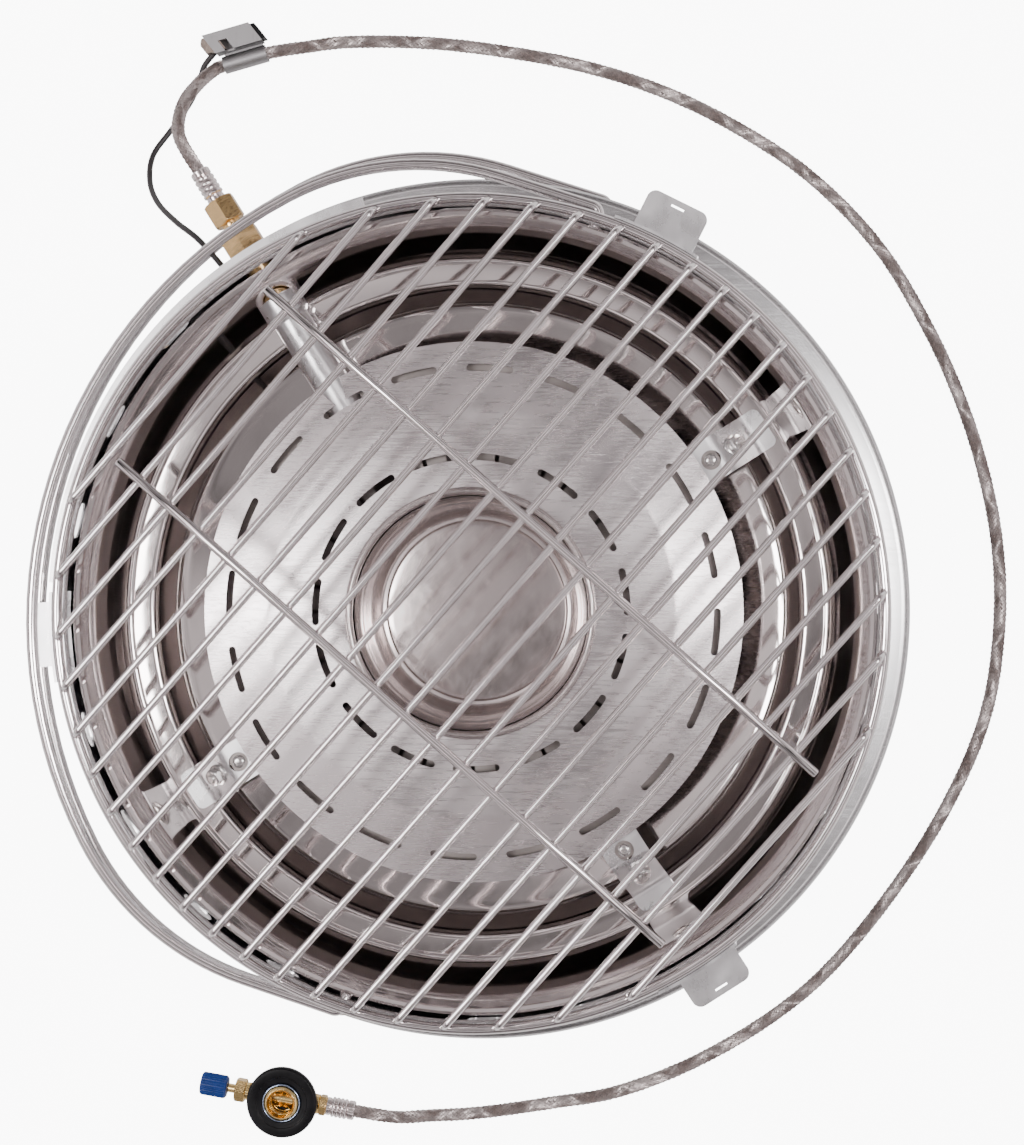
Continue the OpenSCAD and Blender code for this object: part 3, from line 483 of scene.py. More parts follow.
def grain(tree, coords, scale, detail=3.0, rough=0.6):
    """Noise stretched by a per-axis scale, in cells per metre."""
    mapped = add(tree, "ShaderNodeMapping", {"Vector": coords, "Scale": scale})
    noise = add(
        tree, "ShaderNodeTexNoise",
        {"Vector": mapped.outputs[0], "Scale": 1.0, "Detail": detail, "Roughness": rough}
    )
    return noise.outputs["Fac"]


def polished(name, colour, low=0.05, high=0.13, marks=260.0, dent=0.00002, tint=0.06):
    """Bright plated or polished steel: faint smears in the gloss and a slight waviness."""
    material, tree, shader, coords = finish_base(name, colour, 1.0, low)
    smear = grain(tree, coords, (marks, marks * 0.55, marks), 5.0, 0.65)
    gloss_range(tree, shader, smear, (0.3, 0.72), (low, high))
    tone = ramp(
        tree, smear, [(0.3, [c * (1 - tint) for c in colour]), (0.7, [min(1, c * (1 + tint)) for c in colour])]
    )
    tree.links.new(tone, shader.inputs["Base Color"])
    bump(tree, shader, grain(tree, coords, (38, 38, 38), 2.0), 0.25, dent)
    return material


def ring_brushed(name, colour, rough=0.3, lines=2600.0, depth=0.00003, tint=0.10):
    """Turned or spun metal: fine lines that run round the dish's axis."""
    material, tree, shader, coords = finish_base(name, colour, 1.0, rough)
    parts = add(tree, "ShaderNodeSeparateXYZ", {"Vector": coords})
    flat = add(tree, "ShaderNodeCombineXYZ", {"X": parts.outputs["X"], "Y": parts.outputs["Y"]})
    radius = add(tree, "ShaderNodeVectorMath", {0: flat.outputs[0]}, operation="LENGTH")
    stretch = add(tree, "ShaderNodeCombineXYZ", {"X": radius.outputs["Value"], "Z": parts.outputs["Z"]})
    lines_fac = grain(tree, stretch.outputs[0], (lines, 1, lines), 2.0, 0.5)
    smear = grain(tree, coords, (60, 60, 60), 4.0)
    gloss_range(tree, shader, lines_fac, (0.3, 0.7), (rough * 0.8, rough * 1.3))
    mixed = add(tree, "ShaderNodeMath", {0: lines_fac, 1: smear}, operation="ADD")
    tone = ramp(
        tree, mixed.outputs[0],
        [(0.7, [c * (1 - tint) for c in colour]), (1.0, [min(1, c * (1 + tint * 0.6)) for c in colour])]
    )
    tree.links.new(tone, shader.inputs["Base Color"])
    bump(tree, shader, lines_fac, 0.35, depth)
    return material


def sheet_brushed(name, colour, rough=0.34, direction=(30, 1500, 1500), depth=0.00002, tint=0.08):
    """Rolled sheet with a straight grain along X."""
    material, tree, shader, coords = finish_base(name, colour, 1.0, rough)
    lines = grain(tree, coords, direction, 3.0, 0.55)
    smear = grain(tree, coords, (26, 26, 26), 4.0)
    mixed = add(tree, "ShaderNodeMath", {0: lines, 1: smear}, operation="ADD")
    gloss_range(tree, shader, mixed.outputs[0], (0.75, 1.25), (rough * 0.8, rough * 1.25))
    tone = ramp(
        tree, mixed.outputs[0],
        [(0.75, [c * (1 - tint) for c in colour]), (1.0, [min(1, c * (1 + tint)) for c in colour])]
    )
    tree.links.new(tone, shader.inputs["Base Color"])
    bump(tree, shader, lines, 0.3, depth)
    return material


def moulded(name, colour, rough=0.35, cells=1800.0, depth=0.00002, coat=0.0, shine=0.5):
    """Moulded plastic or rubber with a fine even grain and a little fading."""
    material, tree, shader, coords = finish_base(name, colour, 0.0, rough)
    shader.inputs["Coat Weight"].default_value = coat
    shader.inputs["Specular IOR Level"].default_value = shine
    fine = grain(tree, coords, (cells, cells, cells), 2.0)
    broad = grain(tree, coords, (90, 90, 90), 3.0)
    tone = ramp(tree, broad, [(0.3, [c * 0.8 for c in colour]), (0.7, [min(1, c * 1.25 + 0.002) for c in colour])])
    tree.links.new(tone, shader.inputs["Base Color"])
    gloss_range(tree, shader, broad, (0.3, 0.7), (rough * 0.8, rough * 1.25))
    bump(tree, shader, fine, 0.3, depth)
    return material


FINISHES = {
    "wire": lambda: polished("Plated wire", colours().wire, 0.05, 0.12, 420.0),
    "mirror": lambda: polished("Dish mirror", colours().mirror, 0.035, 0.09, 120.0, 0.00003, 0.03),
    "satin": lambda: sheet_brushed("Satin plate", (0.60, 0.56, 0.565), 0.27, (60, 1500, 1500), 0.000004, 0.03),
    "cup": lambda: ring_brushed("Spun cup", (0.60, 0.55, 0.54), 0.20),
    "disc": lambda: polished("Polished disc", (0.66, 0.60, 0.59), 0.10, 0.2, 200.0),
    "casing": lambda: sheet_brushed(
        "Rolled casing sheet", (0.70, 0.70, 0.705), 0.22, (60, 1500, 1500), 0.000004, 0.03
    ),
    "strap": lambda: polished("Pressed strap", (0.80, 0.79, 0.80), 0.24, 0.34, 90.0),
    "dark": lambda: sheet_brushed("Heat-darkened steel", (0.30, 0.27, 0.26), 0.4),
    "brass": lambda: ring_brushed("Turned brass", colours().brass, 0.2, 900.0, 0.00002, 0.12),
    "plated": lambda: polished("Plated fastener", (0.72, 0.70, 0.69), 0.12, 0.28, 900.0),
    "ceramic": lambda: moulded("Glazed ceramic", (0.78, 0.75, 0.70), 0.2),
    "rubber": lambda: moulded("Black rubber", (0.012, 0.012, 0.013), 0.5),
    "sleeve": lambda: moulded("Lead sleeve", (0.035, 0.032, 0.033), 0.38),
    "braid": lambda: polished("Braid wire", (0.52, 0.465, 0.45), 0.34, 0.46, 1400.0, 0.000005, 0.1),
    "underlay": lambda: moulded("Braid underlay", (0.17, 0.15, 0.145), 0.5),
    "crimp": lambda: polished("Crimped ferrule", (0.84, 0.77, 0.76), 0.12, 0.24, 300.0),
    "igniter": lambda: sheet_brushed("Igniter housing", (0.36, 0.355, 0.36), 0.38, (1200, 60, 1200)),
    "black": lambda: moulded("Gloss black", (0.004, 0.004, 0.005), 0.3, 2400.0, 0.00001, 0.0, 0.2),
    "button": lambda: polished("Button metal", (0.76, 0.64, 0.55), 0.12, 0.25, 600.0),
    "blue": lambda: polished("Tinted ring", (0.42, 0.52, 0.72), 0.08, 0.16, 600.0),
    "knob": lambda: moulded("Knob enamel", colours().knob, 0.32, 1500.0, 0.00001, 0.0, 0.35),
    "gold": lambda: ring_brushed("Socket brass", (0.80, 0.58, 0.26), 0.16, 1500.0, 0.00001, 0.08),
}
MADE = {}


def finish(name):
    """The named finish, made once."""
    if name not in MADE:
        MADE[name] = FINISHES[name]()
    return MADE[name]


def dress(node, name):
    """Gives a frame node its finish."""
    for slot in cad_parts[node].material_slots:
        slot.material = finish(name)


# ---------------------------------------------------------------- cords
def polar(r, angle, z):
    return (r * math.cos(math.radians(angle)), r * math.sin(math.radians(angle)), z)


def turned(centre, angle, x, y, z):
    c, s = math.cos(math.radians(angle)), math.sin(math.radians(angle))
    return (centre[0] + x * c - y * s, centre[1] + x * s + y * c, z)


HOSE_RUN = (
    [polar(221, INLET_A, INLET_Z)]
    + [
        (-127, 204, 53), (-128, 219, 40), (-125, 231, 22), (-120, 240, 7),
        (-116.6, 242.04, 4.3), (-97.2, 247.35, 4.3),
        (-80, 250, 3.2), (-60, 252, 3.2), (-24, 251, 3.2), (14, 246, 3.2), (51, 238, 3.2), (87, 225, 3.2),
        (122, 206, 3.2), (149, 186, 3.2), (175, 158, 3.2), (195, 125, 3.2), (210, 92, 3.2), (221, 57, 3.2),
        (227, 22, 3.2), (227, -14, 3.2), (221, -49, 3.2), (206, -85, 3.2), (185, -120, 3.2),
        (158, -155, 3.2), (132, -179, 3.2), (97, -201, 3.2), (61, -216, 3.2), (30, -222, 3.2),
        (-2, -227, 3.2), (-24, -228.5, 4), (-40, -228.8, 7),
    ]
    + [turned(VALVE_C, VALVE_A, 31, 0, VALVE_Z)]
)
LEAD_RUN = (
    [turned(IGNITER_C, IGNITER_A, -12.6, 7.4, 2.4)]
    + [
        (-126, 242.5, 1.9), (-128.5, 235.5, 1.4), (-132.5, 226.5, 1.4), (-141, 214.5, 1.4), (-149, 202.5, 4),
        (-149, 190, 11), (-143, 179, 22), (-132, 169, 35), (-120, 160, 45),
    ]
    + [polar(CASING_R + 6, BUSHING_A, BUSHING_Z)]
)


def run_length(points):
    return sum((Vector(b) - Vector(a)).length for a, b in zip(points, points[1:]))


def braid_tree():
    """Geometry Nodes tree: fine wires wound both ways round the path, dipping over and under."""
    tree, inputs = new_tree(
        "Hose Braid",
        [
            ("Wires", "NodeSocketInt", 48),
            ("Turns", "NodeSocketFloat", 40.0),
            ("Radius", "NodeSocketFloat", 0.0029),
            ("Weave", "NodeSocketFloat", 0.00012),
            ("Wire Radius", "NodeSocketFloat", 0.00018),
            ("Steps", "NodeSocketInt", 400),
            ("Bundle", "NodeSocketInt", 3),
            ("Gap", "NodeSocketFloat", 0.13),
            ("Finish", "NodeSocketMaterial", None),
        ],
    )

    def math_node(operation, a, b=0.0):
        return add(tree, "ShaderNodeMath", {0: a, 1: b}, operation=operation).outputs[0]

    curve = add(tree, "GeometryNodeMeshToCurve", {"Mesh": inputs["Geometry"]})
    even = add(tree, "GeometryNodeResampleCurve", {"Curve": curve.outputs[0], "Count": inputs["Steps"]})
    copies = add(
        tree,
        "GeometryNodeDuplicateElements",
        {"Geometry": even.outputs[0], "Amount": inputs["Wires"]},
        domain="SPLINE",
    )
    place = add(tree, "GeometryNodeSplineParameter").outputs["Factor"]
    number = copies.outputs["Duplicate Index"]
    way = math_node("SUBTRACT", math_node("MULTIPLY", math_node("MODULO", number, 2.0), 2.0), 1.0)
    lane = math_node("FLOOR", math_node("DIVIDE", number, 2.0))
    bundle = math_node("FLOOR", math_node("DIVIDE", lane, inputs["Bundle"]))
    within = math_node(
        "SUBTRACT", math_node("SUBTRACT", lane, math_node("MULTIPLY", bundle, inputs["Bundle"])), 1.0
    )
    bundles = math_node("DIVIDE", math_node("DIVIDE", inputs["Wires"], 2.0), inputs["Bundle"])
    spun = math_node("MULTIPLY", math_node("MULTIPLY", place, inputs["Turns"]), way)
    base = math_node("ADD", math_node("DIVIDE", bundle, bundles), spun)
    angle = math_node("ADD", math_node("MULTIPLY", base, TAU), math_node("MULTIPLY", within, inputs["Gap"]))
    phase = math_node("MULTIPLY", math_node("MULTIPLY", place, inputs["Turns"]), bundles)
    phase = math_node("ADD", math_node("MULTIPLY", phase, TAU), math_node("MULTIPLY", bundle, math.pi))
    lift = math_node("MULTIPLY", math_node("MULTIPLY", math_node("SINE", phase), inputs["Weave"]), way)
    reach = math_node("ADD", inputs["Radius"], lift)
    normal = add(tree, "GeometryNodeInputNormal").outputs[0]
    tangent = add(tree, "GeometryNodeInputTangent").outputs[0]
    across = add(tree, "ShaderNodeVectorMath", {0: tangent, 1: normal}, operation="CROSS_PRODUCT").outputs["Vector"]

    def scaled(vector, amount):
        return add(tree, "ShaderNodeVectorMath", {0: vector, "Scale": amount}, operation="SCALE").outputs["Vector"]

    offset = add(
        tree,
        "ShaderNodeVectorMath",
        {
            0: scaled(normal, math_node("MULTIPLY", math_node("COSINE", angle), reach)),
            1: scaled(across, math_node("MULTIPLY", math_node("SINE", angle), reach)),
        },
        operation="ADD",
    ).outputs["Vector"]
    moved = add(tree, "GeometryNodeSetPosition", {"Geometry": copies.outputs["Geometry"], "Offset": offset})
    profile = add(
        tree, "GeometryNodeCurvePrimitiveCircle", {"Resolution": 3, "Radius": inputs["Wire Radius"]}, mode="RADIUS"
    )
    wires = add(
        tree,
        "GeometryNodeCurveToMesh",
        {"Curve": moved.outputs[0], "Profile Curve": profile.outputs["Curve"], "Fill Caps": True},
    )
    return end_tree(tree, wires.outputs[0], inputs["Finish"])


def set_inputs(modifier, values):
    """Sets a Geometry Nodes modifier's inputs by their sockets' identifiers."""
    for item in modifier.node_group.interface.items_tree:
        if item.item_type == "SOCKET" and item.in_out == "INPUT" and item.name in values:
            modifier[item.identifier] = values[item.name]


def braided_hose():
    path = smooth_run(HOSE_RUN, 8)
    length = run_length(path)
    mesh = bpy.data.meshes.new("braid")
    mesh.from_pydata([p * MM for p in path], [(i, i + 1) for i in range(len(path) - 1)], [])
    holder = bpy.data.objects.new("braid.row", mesh)
    bpy.context.scene.collection.objects.link(holder)
    modifier = holder.modifiers.new("braid", "NODES")
    modifier.node_group = braid_tree()
    turns = length * MM / sizes().braid_pitch
    set_inputs(
        modifier,
        {
            "Wires": sizes().braid_wires,
            "Turns": turns,
            "Steps": int(turns * 8.5),
            "Radius": (HOSE_D / 2 - 0.37) * MM,
            "Weave": 0.12 * MM,
            "Wire Radius": 0.21 * MM,
            "Finish": finish("braid"),
        },
    )
    braid = bake(holder, "braid", modifier, 80)
    bm = bmesh.new()
    bm.from_mesh(braid.data)
    sweep_into(bm, path, HOSE_D / 2 - 0.45, 16, index=1)
    bpy.data.objects.remove(braid)
    hose = link_mesh("gas_hose_braided", bm, [finish("braid"), finish("underlay")], 80)
    settle(hose, "heater", "braid", "gas_hose")


def ignition_lead():
    path = smooth_run(LEAD_RUN, 8)
    lead = tube("ignition_lead_sleeved", path, LEAD_D / 2, finish("sleeve"), 16)
    settle(lead, "heater", "dark_sleeve", "ignition_lead")


# ---------------------------------------------------------------- casing
def near(a, b, span):
    return math.cos(math.radians(a - b)) > math.cos(math.radians(span))


VENT_TURNS = [
    a
    for a in (2 + 15 * i for i in range(24))
    if not near(a, LOOP_ANGLE + 90, 8)
    and not near(a, LOOP_ANGLE - 90, 8)
    and not near(a, INLET_A, 6)
    and not near(3 * a, 3 * CLIP_A, 18)
]
VENT_Z, VENT_D, VENT_L = RIM_Z - 6.5, 9.0, 16.0


def stadium(cx, cy, length, width, steps=10):
    """Outline of a round-ended hole, with its inside test."""
    half, r = (length - width) / 2, width / 2
    loop = []
    for side, start in ((1, -90), (-1, 90)):
        for k in range(steps + 1):
            t = math.radians(start + 180 * k / steps)
            loop.append((cx + side * half + r * math.cos(t), cy + r * math.sin(t)))

    def inside(p):
        dx = max(abs(p.x - cx) - half, 0)
        return math.hypot(dx, p.y - cy) < r * 0.999

    return loop, inside


def round_hole(cx, cy, r, steps=28):
    loop = [(cx + r * math.cos(TAU * k / steps), cy + r * math.sin(TAU * k / steps)) for k in range(steps)]
    return loop, lambda p: math.hypot(p.x - cx, p.y - cy) < r * 0.999


def casing_wall():
    r = CASING_R - SHEET / 2
    deg = math.radians(1) * r
    holes = [stadium(a % 360 * deg, VENT_Z, VENT_L, VENT_D) for a in VENT_TURNS]
    for turn in (-90, 90):
        for z in (FRONT_Z, REAR_Z):
            holes.append(round_hole((LOOP_ANGLE + turn) % 360 * deg, z, LOOP_D / 2 + 0.06))
    holes.append(round_hole(INLET_A * deg, INLET_Z, 6.6))
    holes.append(round_hole(BUSHING_A * deg, BUSHING_Z, 2.75))
    steps = sizes().round_steps
    rows = []
    for z in (WALL_Z, 40, 57, 70.5, CASING_TOP - 0.4):
        rows.append(([(360 * deg * k / steps, z) for k in range(steps + 1)], False))
    ends = [
        ([(0, WALL_Z), (0, CASING_TOP - 0.4)], False), ([(360 * deg, WALL_Z), (360 * deg, CASING_TOP - 0.4)], False)
    ]
    points, faces = flat_sheet(ends + rows, holes)
    bm = bmesh.new()
    verts = [bm.verts.new(Vector((*polar(CASING_R, math.degrees(p.x / r), p.y),)) * MM) for p in points]
    for face in faces:
        bm.faces.new([verts[i] for i in face])
    bmesh.ops.remove_doubles(bm, verts=bm.verts, dist=1e-7)
    for face in bm.faces:
        if face.normal.dot(Vector((*face.calc_center_median().xy, 0))) < 0:
            face.normal_flip()
    bmesh.ops.solidify(bm, geom=bm.faces[:], thickness=SHEET * MM)
    bmesh.ops.recalc_face_normals(bm, faces=bm.faces)
    lip = rounded(
        [
            (CASING_R - 0.1, CASING_TOP - 0.8), (CASING_R - 1.4, CASING_TOP), (170.6, CASING_TOP - 0.25),
            (169.7, CASING_TOP - 1.6)
        ],
        0.8
    )
    lathe_into(bm, skin(lip, -0.6))
    wall = link_mesh("casing_wall", bm, [finish("casing")], 30)
    settle(wall, "heater", "casing_steel", "outer_casing")


def casing_shells():
    run = smooth_run(
        [(0.001, 0), (60, 0), (100, 0), (108, 0.35), (126, 3.5), (151.8, 12), (165.8, 21), (169.3, 30)], 8
    )
    run = list(run) + [Vector(p) for p in rounded([(169.3, 30), (169.6, 30), (CASING_R, 30)], 0.4)[1:]]
    shell = lathe("rear_shell_pressed", skin(run, SHEET), finish("casing"))
    settle(shell, "heater", "casing_steel", "rear_shell")
    hem = [(CASING_R + 0.75, 48), (CASING_R + 0.75, 44.2), (CASING_R + 8.6, 44.05), (184.2, 43.3), (184.95, 42.0)]
    hem = rounded(hem, 0.9)
    flange = lathe("carrying_flange_hemmed", skin(hem, 0.7), finish("casing"))
    settle(flange, "heater", "casing_steel", "carrying_flange")


def clips():
    for i in range(3):
        node = f"guard_clip_{i + 1}"
        dress(node, "strap")
    for node in ("inlet_shield", "clip_backings", "pivot_plates_front", "pivot_plates_rear"):
        dress(node, "strap")


# ---------------------------------------------------------------- reflectors
def reflectors():
    ledge = [(LEDGE_R, LEDGE_Z + SHEET), (LEDGE_R + 2, LEDGE_Z + 1.4), (LEDGE_R + 4.5, LEDGE_Z + 4),
             (LEDGE_R + 8, LEDGE_Z + 10), (LEDGE_R + 13, LEDGE_Z + 18.5), (RIM_R - 2.5, RIM_Z - 1)]
    bowl = smooth_run(ledge, 8)
    run = bowl + [
        Vector((r, z)) for r,
        z in (
            (RIM_R - 1.6, RIM_Z), (RIM_R - 0.6, RIM_Z + 0.1), (RIM_R + 0.3, RIM_Z - 0.5),
            (RIM_R + 0.7, RIM_Z - 1.8), (RIM_R + 0.8, RIM_Z - 4)
        )
    ]
    outer = lathe("outer_reflector_mirror", skin(run, 0.6), finish("mirror"))
    settle(outer, "heater", "mirror_steel", "outer_reflector")
    floor = smooth_run(
        [
            (0.001, FLOOR_Z - 8), (20, FLOOR_Z - 8), (84, FLOOR_Z - 6), (110, FLOOR_Z - 4.2), (128, FLOOR_Z - 2),
            (132.6, FLOOR_Z - 1.2)
        ],
        8
    )
    step = rounded(
        [floor[-1], (134.4, FLOOR_Z + 0.6), (139, LEDGE_Z - 2), (141, LEDGE_Z), (LEDGE_R + 3, LEDGE_Z)], 1.6, 6
    )
    inner = lathe("inner_reflector_mirror", skin(floor[:-1] + step, 0.7), finish("mirror"))
    settle(inner, "heater", "mirror_steel", "inner_reflector")


# ---------------------------------------------------------------- burner
def arc_slot(radius, angle, length, width, steps=12):
    """Outline of a round-ended slot that follows a circle, with its inside test."""
    half = (length - width) / 2 / radius
    centre = math.radians(angle)
    loop = [
        (
            (radius + width / 2) * math.cos(centre + half * (2 * k / steps - 1)),
            (radius + width / 2) * math.sin(centre + half * (2 * k / steps - 1))
        )
        for k in range(steps + 1)
    ]
    ends = []
    for sign in (1, -1):
        a = centre + sign * half
        c = Vector((radius * math.cos(a), radius * math.sin(a)))
        ends.append((c, a))
        start = a if sign == 1 else a + math.pi
        for k in range(1, 9):
            t = start + math.pi * k / 9
            loop.append((c.x + width / 2 * math.cos(t), c.y + width / 2 * math.sin(t)))
        if sign == 1:
            loop += [
                (
                    (radius - width / 2) * math.cos(centre + half * (1 - 2 * k / steps)),
                    (radius - width / 2) * math.sin(centre + half * (1 - 2 * k / steps))
                )
                for k in range(steps + 1)
            ]

    def inside(p):
        if abs(p.length - radius) > width / 2 * 0.999:
            return False
        off = (math.atan2(p.y, p.x) - centre + math.pi) % TAU - math.pi
        if abs(off) <= half:
            return True
        return min((p - c).length for c, _ in ends) < width / 2 * 0.999

    return loop, inside


PLATE_RUN = [
    (HUB_R - 3, HUB_Z - 0.8), (HUB_R + 4, HUB_Z - 0.8), (CREASE_R - 1.5, CREASE_Z + 0.15), (CREASE_R, CREASE_Z),
    (CREASE_R + 1.5, CREASE_Z - 0.3), (PLATE_R, PLATE_Z)
]


def plate_height(r):
    for (r0, z0), (r1, z1) in zip(PLATE_RUN, PLATE_RUN[1:]):
        if r <= r1:
            return z0 + (z1 - z0) * (r - r0) / (r1 - r0)
    return PLATE_Z


def tube_mouth():
    """Where the venturi tube breaks through the cone: a pointed opening, in plan."""
    a = math.radians(INLET_A)
    along, side = Vector((math.cos(a), math.sin(a))), Vector((-math.sin(a), math.cos(a)))
    radius = 8.3

    def half_width(r):
        rise = plate_height(min(r, PLATE_R)) + SHEET - INLET_Z
        return math.sqrt(max(radius * radius - rise * rise, 0)) if rise < radius else 0.0

    tip = next((r / 4 for r in range(340, 470) if half_width(r / 4) > 0), 100)
    reach = [tip + (PLATE_R + 4 - tip) * (k / 14) ** 1.6 for k in range(15)]
    left = [along * r + side * half_width(r) for r in reach]
    right = [along * r - side * half_width(r) for r in reach[::-1]]

    def inside(p):
        r, s = p.dot(along), p.dot(side)
        return r > tip and abs(s) < half_width(r) * 0.999

    return [tuple(p) for p in left + right[:-1]], inside


def heat_plate():
    steps = 240
    rows = [
        ([(r * math.cos(TAU * k / steps), r * math.sin(TAU * k / steps)) for k in range(steps)], True)
        for r in (HUB_R - 3, HUB_R + 4, CREASE_R - 1.5, CREASE_R, CREASE_R + 1.5, PLATE_R)
    ]
    holes = [arc_slot(PLATE_R - 11, 13.7 + 18 * i, 20, 3.0) for i in range(20)]
    holes += [arc_slot(HUB_R + 12.5, 8 + 24 * i, 20, 3.0) for i in range(15)]
    holes.append(tube_mouth())
    middle = lambda p: p.length < (HUB_R - 3) * 0.999
    outside = lambda p: p.length > PLATE_R * 1.0001
    points, faces = flat_sheet(rows, holes + [([], middle), ([], outside)])
    bm = bmesh.new()
    verts = [bm.verts.new(Vector((p.x, p.y, plate_height(p.length))) * MM) for p in points]
    for face in faces:
        bm.faces.new([verts[i] for i in face])
    bmesh.ops.delete(bm, geom=[v for v in bm.verts if not v.link_faces], context="VERTS")
    for face in bm.faces:
        if face.normal.z < 0:
            face.normal_flip()
    bmesh.ops.solidify(bm, geom=bm.faces[:], thickness=-SHEET * MM)
    bmesh.ops.recalc_face_normals(bm, faces=bm.faces)
    lip = rounded(
        [(PLATE_R - 1.2, PLATE_Z + 0.5), (PLATE_R - 0.3, PLATE_Z + 0.1), (PLATE_R - 0.2, PLATE_Z - 1.9)], 0.5
    )
    gap = math.degrees(math.asin(8.3 / PLATE_R))
    lathe_into(bm, skin(lip, -0.5), sweep=(INLET_A + gap, INLET_A - gap + 360))
    plate = link_mesh("heat_plate_slotted", bm, [finish("satin")], 30)
    settle(plate, "heater", "satin_steel", "heat_plate")


def hub():
    ring = []
    for r, z in smooth_run(
        [
            (HUB_R - 3.6, HUB_Z), (HUB_R - 3.5, HUB_Z + 2.0), (HUB_R - 2.0, HUB_Z + 3.15),
            (HUB_R - 0.45, HUB_Z + 2.0), (HUB_R - 0.4, HUB_Z + 0.05)
        ],
        6
    ):
        ring.append((r, z))
    settle(lathe("hub_rolled_ring", ring, finish("cup")), "heater", "satin_steel", "hub_ring")
    run = rounded(
        [(DISC_R + 0.4, DISC_Z - 1.2), (DISC_R + 3, DISC_Z - 0.4), (DISC_R + 5.5, DISC_Z + 5), (DISC_R + 6.2, DISC_Z + 14),
         (DISC_R + 8.2, HUB_Z - 9), (DISC_R + 8.5, HUB_Z - 4.5), (HUB_R - 4.2, HUB_Z - 0.4)],
        2.2, 6,
    )
    cup = lathe("hub_cup_spun", skin(run, 0.8), finish("cup"))
    settle(cup, "heater", "cup_steel", "hub_cup")
    disc = [
        (0.001, DISC_Z + 0.9), (DISC_R - 3, DISC_Z + 0.9), (DISC_R - 0.6, DISC_Z + 0.7),
        (DISC_R + 0.5, DISC_Z - 0.4), (DISC_R + 0.5, DISC_Z - 1.1), (0.001, DISC_Z - 0.2)
    ]
    settle(lathe("hub_polished_disc", disc, finish("disc")), "heater", "cup_steel", "hub_cup")


def venturi():
    steps = 4
    bell, end, r = 9.6, 158.0, 8.0
    outline = rounded(
        [
            (r - 0.8, 84), (r, 84), (r, end - 11), (bell, end - 9), (bell, end), (6.8, end), (6.8, end - 1),
            (bell - 0.8, end - 1), (bell - 0.8, end - 9), (r - 0.8, end - 10.6), (r - 0.8, 84)
        ],
        0.7, steps,
    )[:-1]
    tube_piece = lathe(
        "venturi_tube_belled", outline, finish("strap"), matrix=radial(INLET_A, INLET_Z), segments=64
    )
    settle(tube_piece, "heater", "casing_steel", "venturi_tube")


def burner():
    heat_plate()
    hub()
    venturi()
    for node in ("burner_pan", "burner_grid"):
        dress(node, "dark")
    for i in range(3):
        bracket(i)
    dress("electrode_ceramic", "ceramic")
    dress("electrode_wire", "plated")
    dress("electrode_lead", "sleeve")


TAB_R, SCREW_R = 119.7, 130.6
BRACKET_TOP, BRACKET_FOOT = 57.8, 45.8
BEND_IN, BEND_OUT = TAB_R + 4.6, STEP_R + 5.4
SLOPE = math.atan2(BRACKET_TOP - BRACKET_FOOT, BEND_OUT - BEND_IN)
SCREW_Z = BRACKET_TOP - (BRACKET_TOP - BRACKET_FOOT) * (SCREW_R - BEND_IN) / (BEND_OUT - BEND_IN)


def at_screw(turn):
    """Local Z is the strap's outward normal at the fastener."""
    return (
        spin_z(BRACKET_A + turn)
        @ Matrix.Translation((SCREW_R, 0, SCREW_Z))
        @ Matrix.Rotation(SLOPE, 4, "Y")
    )


def bracket(i):
    """A strap bent over the step, with rounded ends, a rivet window and softened bends."""
    turn = BRACKET_TURNS[i]
    run = rounded(
        [(TAB_R - 7, BRACKET_TOP), (BEND_IN, BRACKET_TOP), (BEND_OUT, BRACKET_FOOT), (LEDGE_R - 1.2, BRACKET_FOOT)],
        2.4, 5
    )
    s = [0.0]
    for a, b in zip(run, run[1:]):
        s.append(s[-1] + (b - a).length)
    total, half, corner = s[-1], 9.0, 3.0

    def at(distance):
        for k in range(len(s) - 1):
            if distance <= s[k + 1] or k == len(s) - 2:
                t = (distance - s[k]) / (s[k + 1] - s[k])
                return run[k].lerp(run[k + 1], t)

    outline = [(0, -half), (0, half)]
    for k in range(9):
        a = math.radians(90 - 90 * k / 8)
        outline.append((total - corner + corner * math.cos(a), half - corner + corner * math.sin(a)))
    for k in range(9):
        a = math.radians(-90 * k / 8)
        outline.append((total - corner + corner * math.cos(a), -half + corner + corner * math.sin(a)))
    window = round_hole(7.0, 0, 4.15)
    slope_start = next(d for d, p in zip(s, run) if p.x >= BEND_IN)
    stud = round_hole(slope_start + (SCREW_R - BEND_IN) / math.cos(SLOPE), 0, 2.1)
    lines = [([(d, -half), (d, half)], False) for d in s[1:-1]]
    shapely = lambda p: (
        p.x < 0 or p.x > total or abs(p.y) > half
        or (
            p.x > total - corner and abs(p.y) > half - corner and math.hypot(
                p.x - total + corner, abs(p.y) - half + corner
            ) > corner * 1.001
        )
    )
    points, faces = flat_sheet([(outline, True)] + lines, [window, stud, ([], shapely)])
    bm = bmesh.new()
    rotate = spin_z(BRACKET_A + turn)
    verts = [bm.verts.new(rotate @ Vector((at(p.x).x, p.y, at(p.x).y)) * MM) for p in points]
    for face in faces:
        bm.faces.new([verts[i] for i in face])
    bmesh.ops.delete(bm, geom=[v for v in bm.verts if not v.link_faces], context="VERTS")
    for face in bm.faces:
        if face.normal.z < 0:
            face.normal_flip()
    bmesh.ops.solidify(bm, geom=bm.faces[:], thickness=-1.2 * MM)
    bmesh.ops.recalc_face_normals(bm, faces=bm.faces)
    name = f"plate_bracket_{i + 1}"
    piece = link_mesh(name + "_strap", bm, [finish("strap")], 30)
    settle(piece, "heater", "bracket_steel", name)


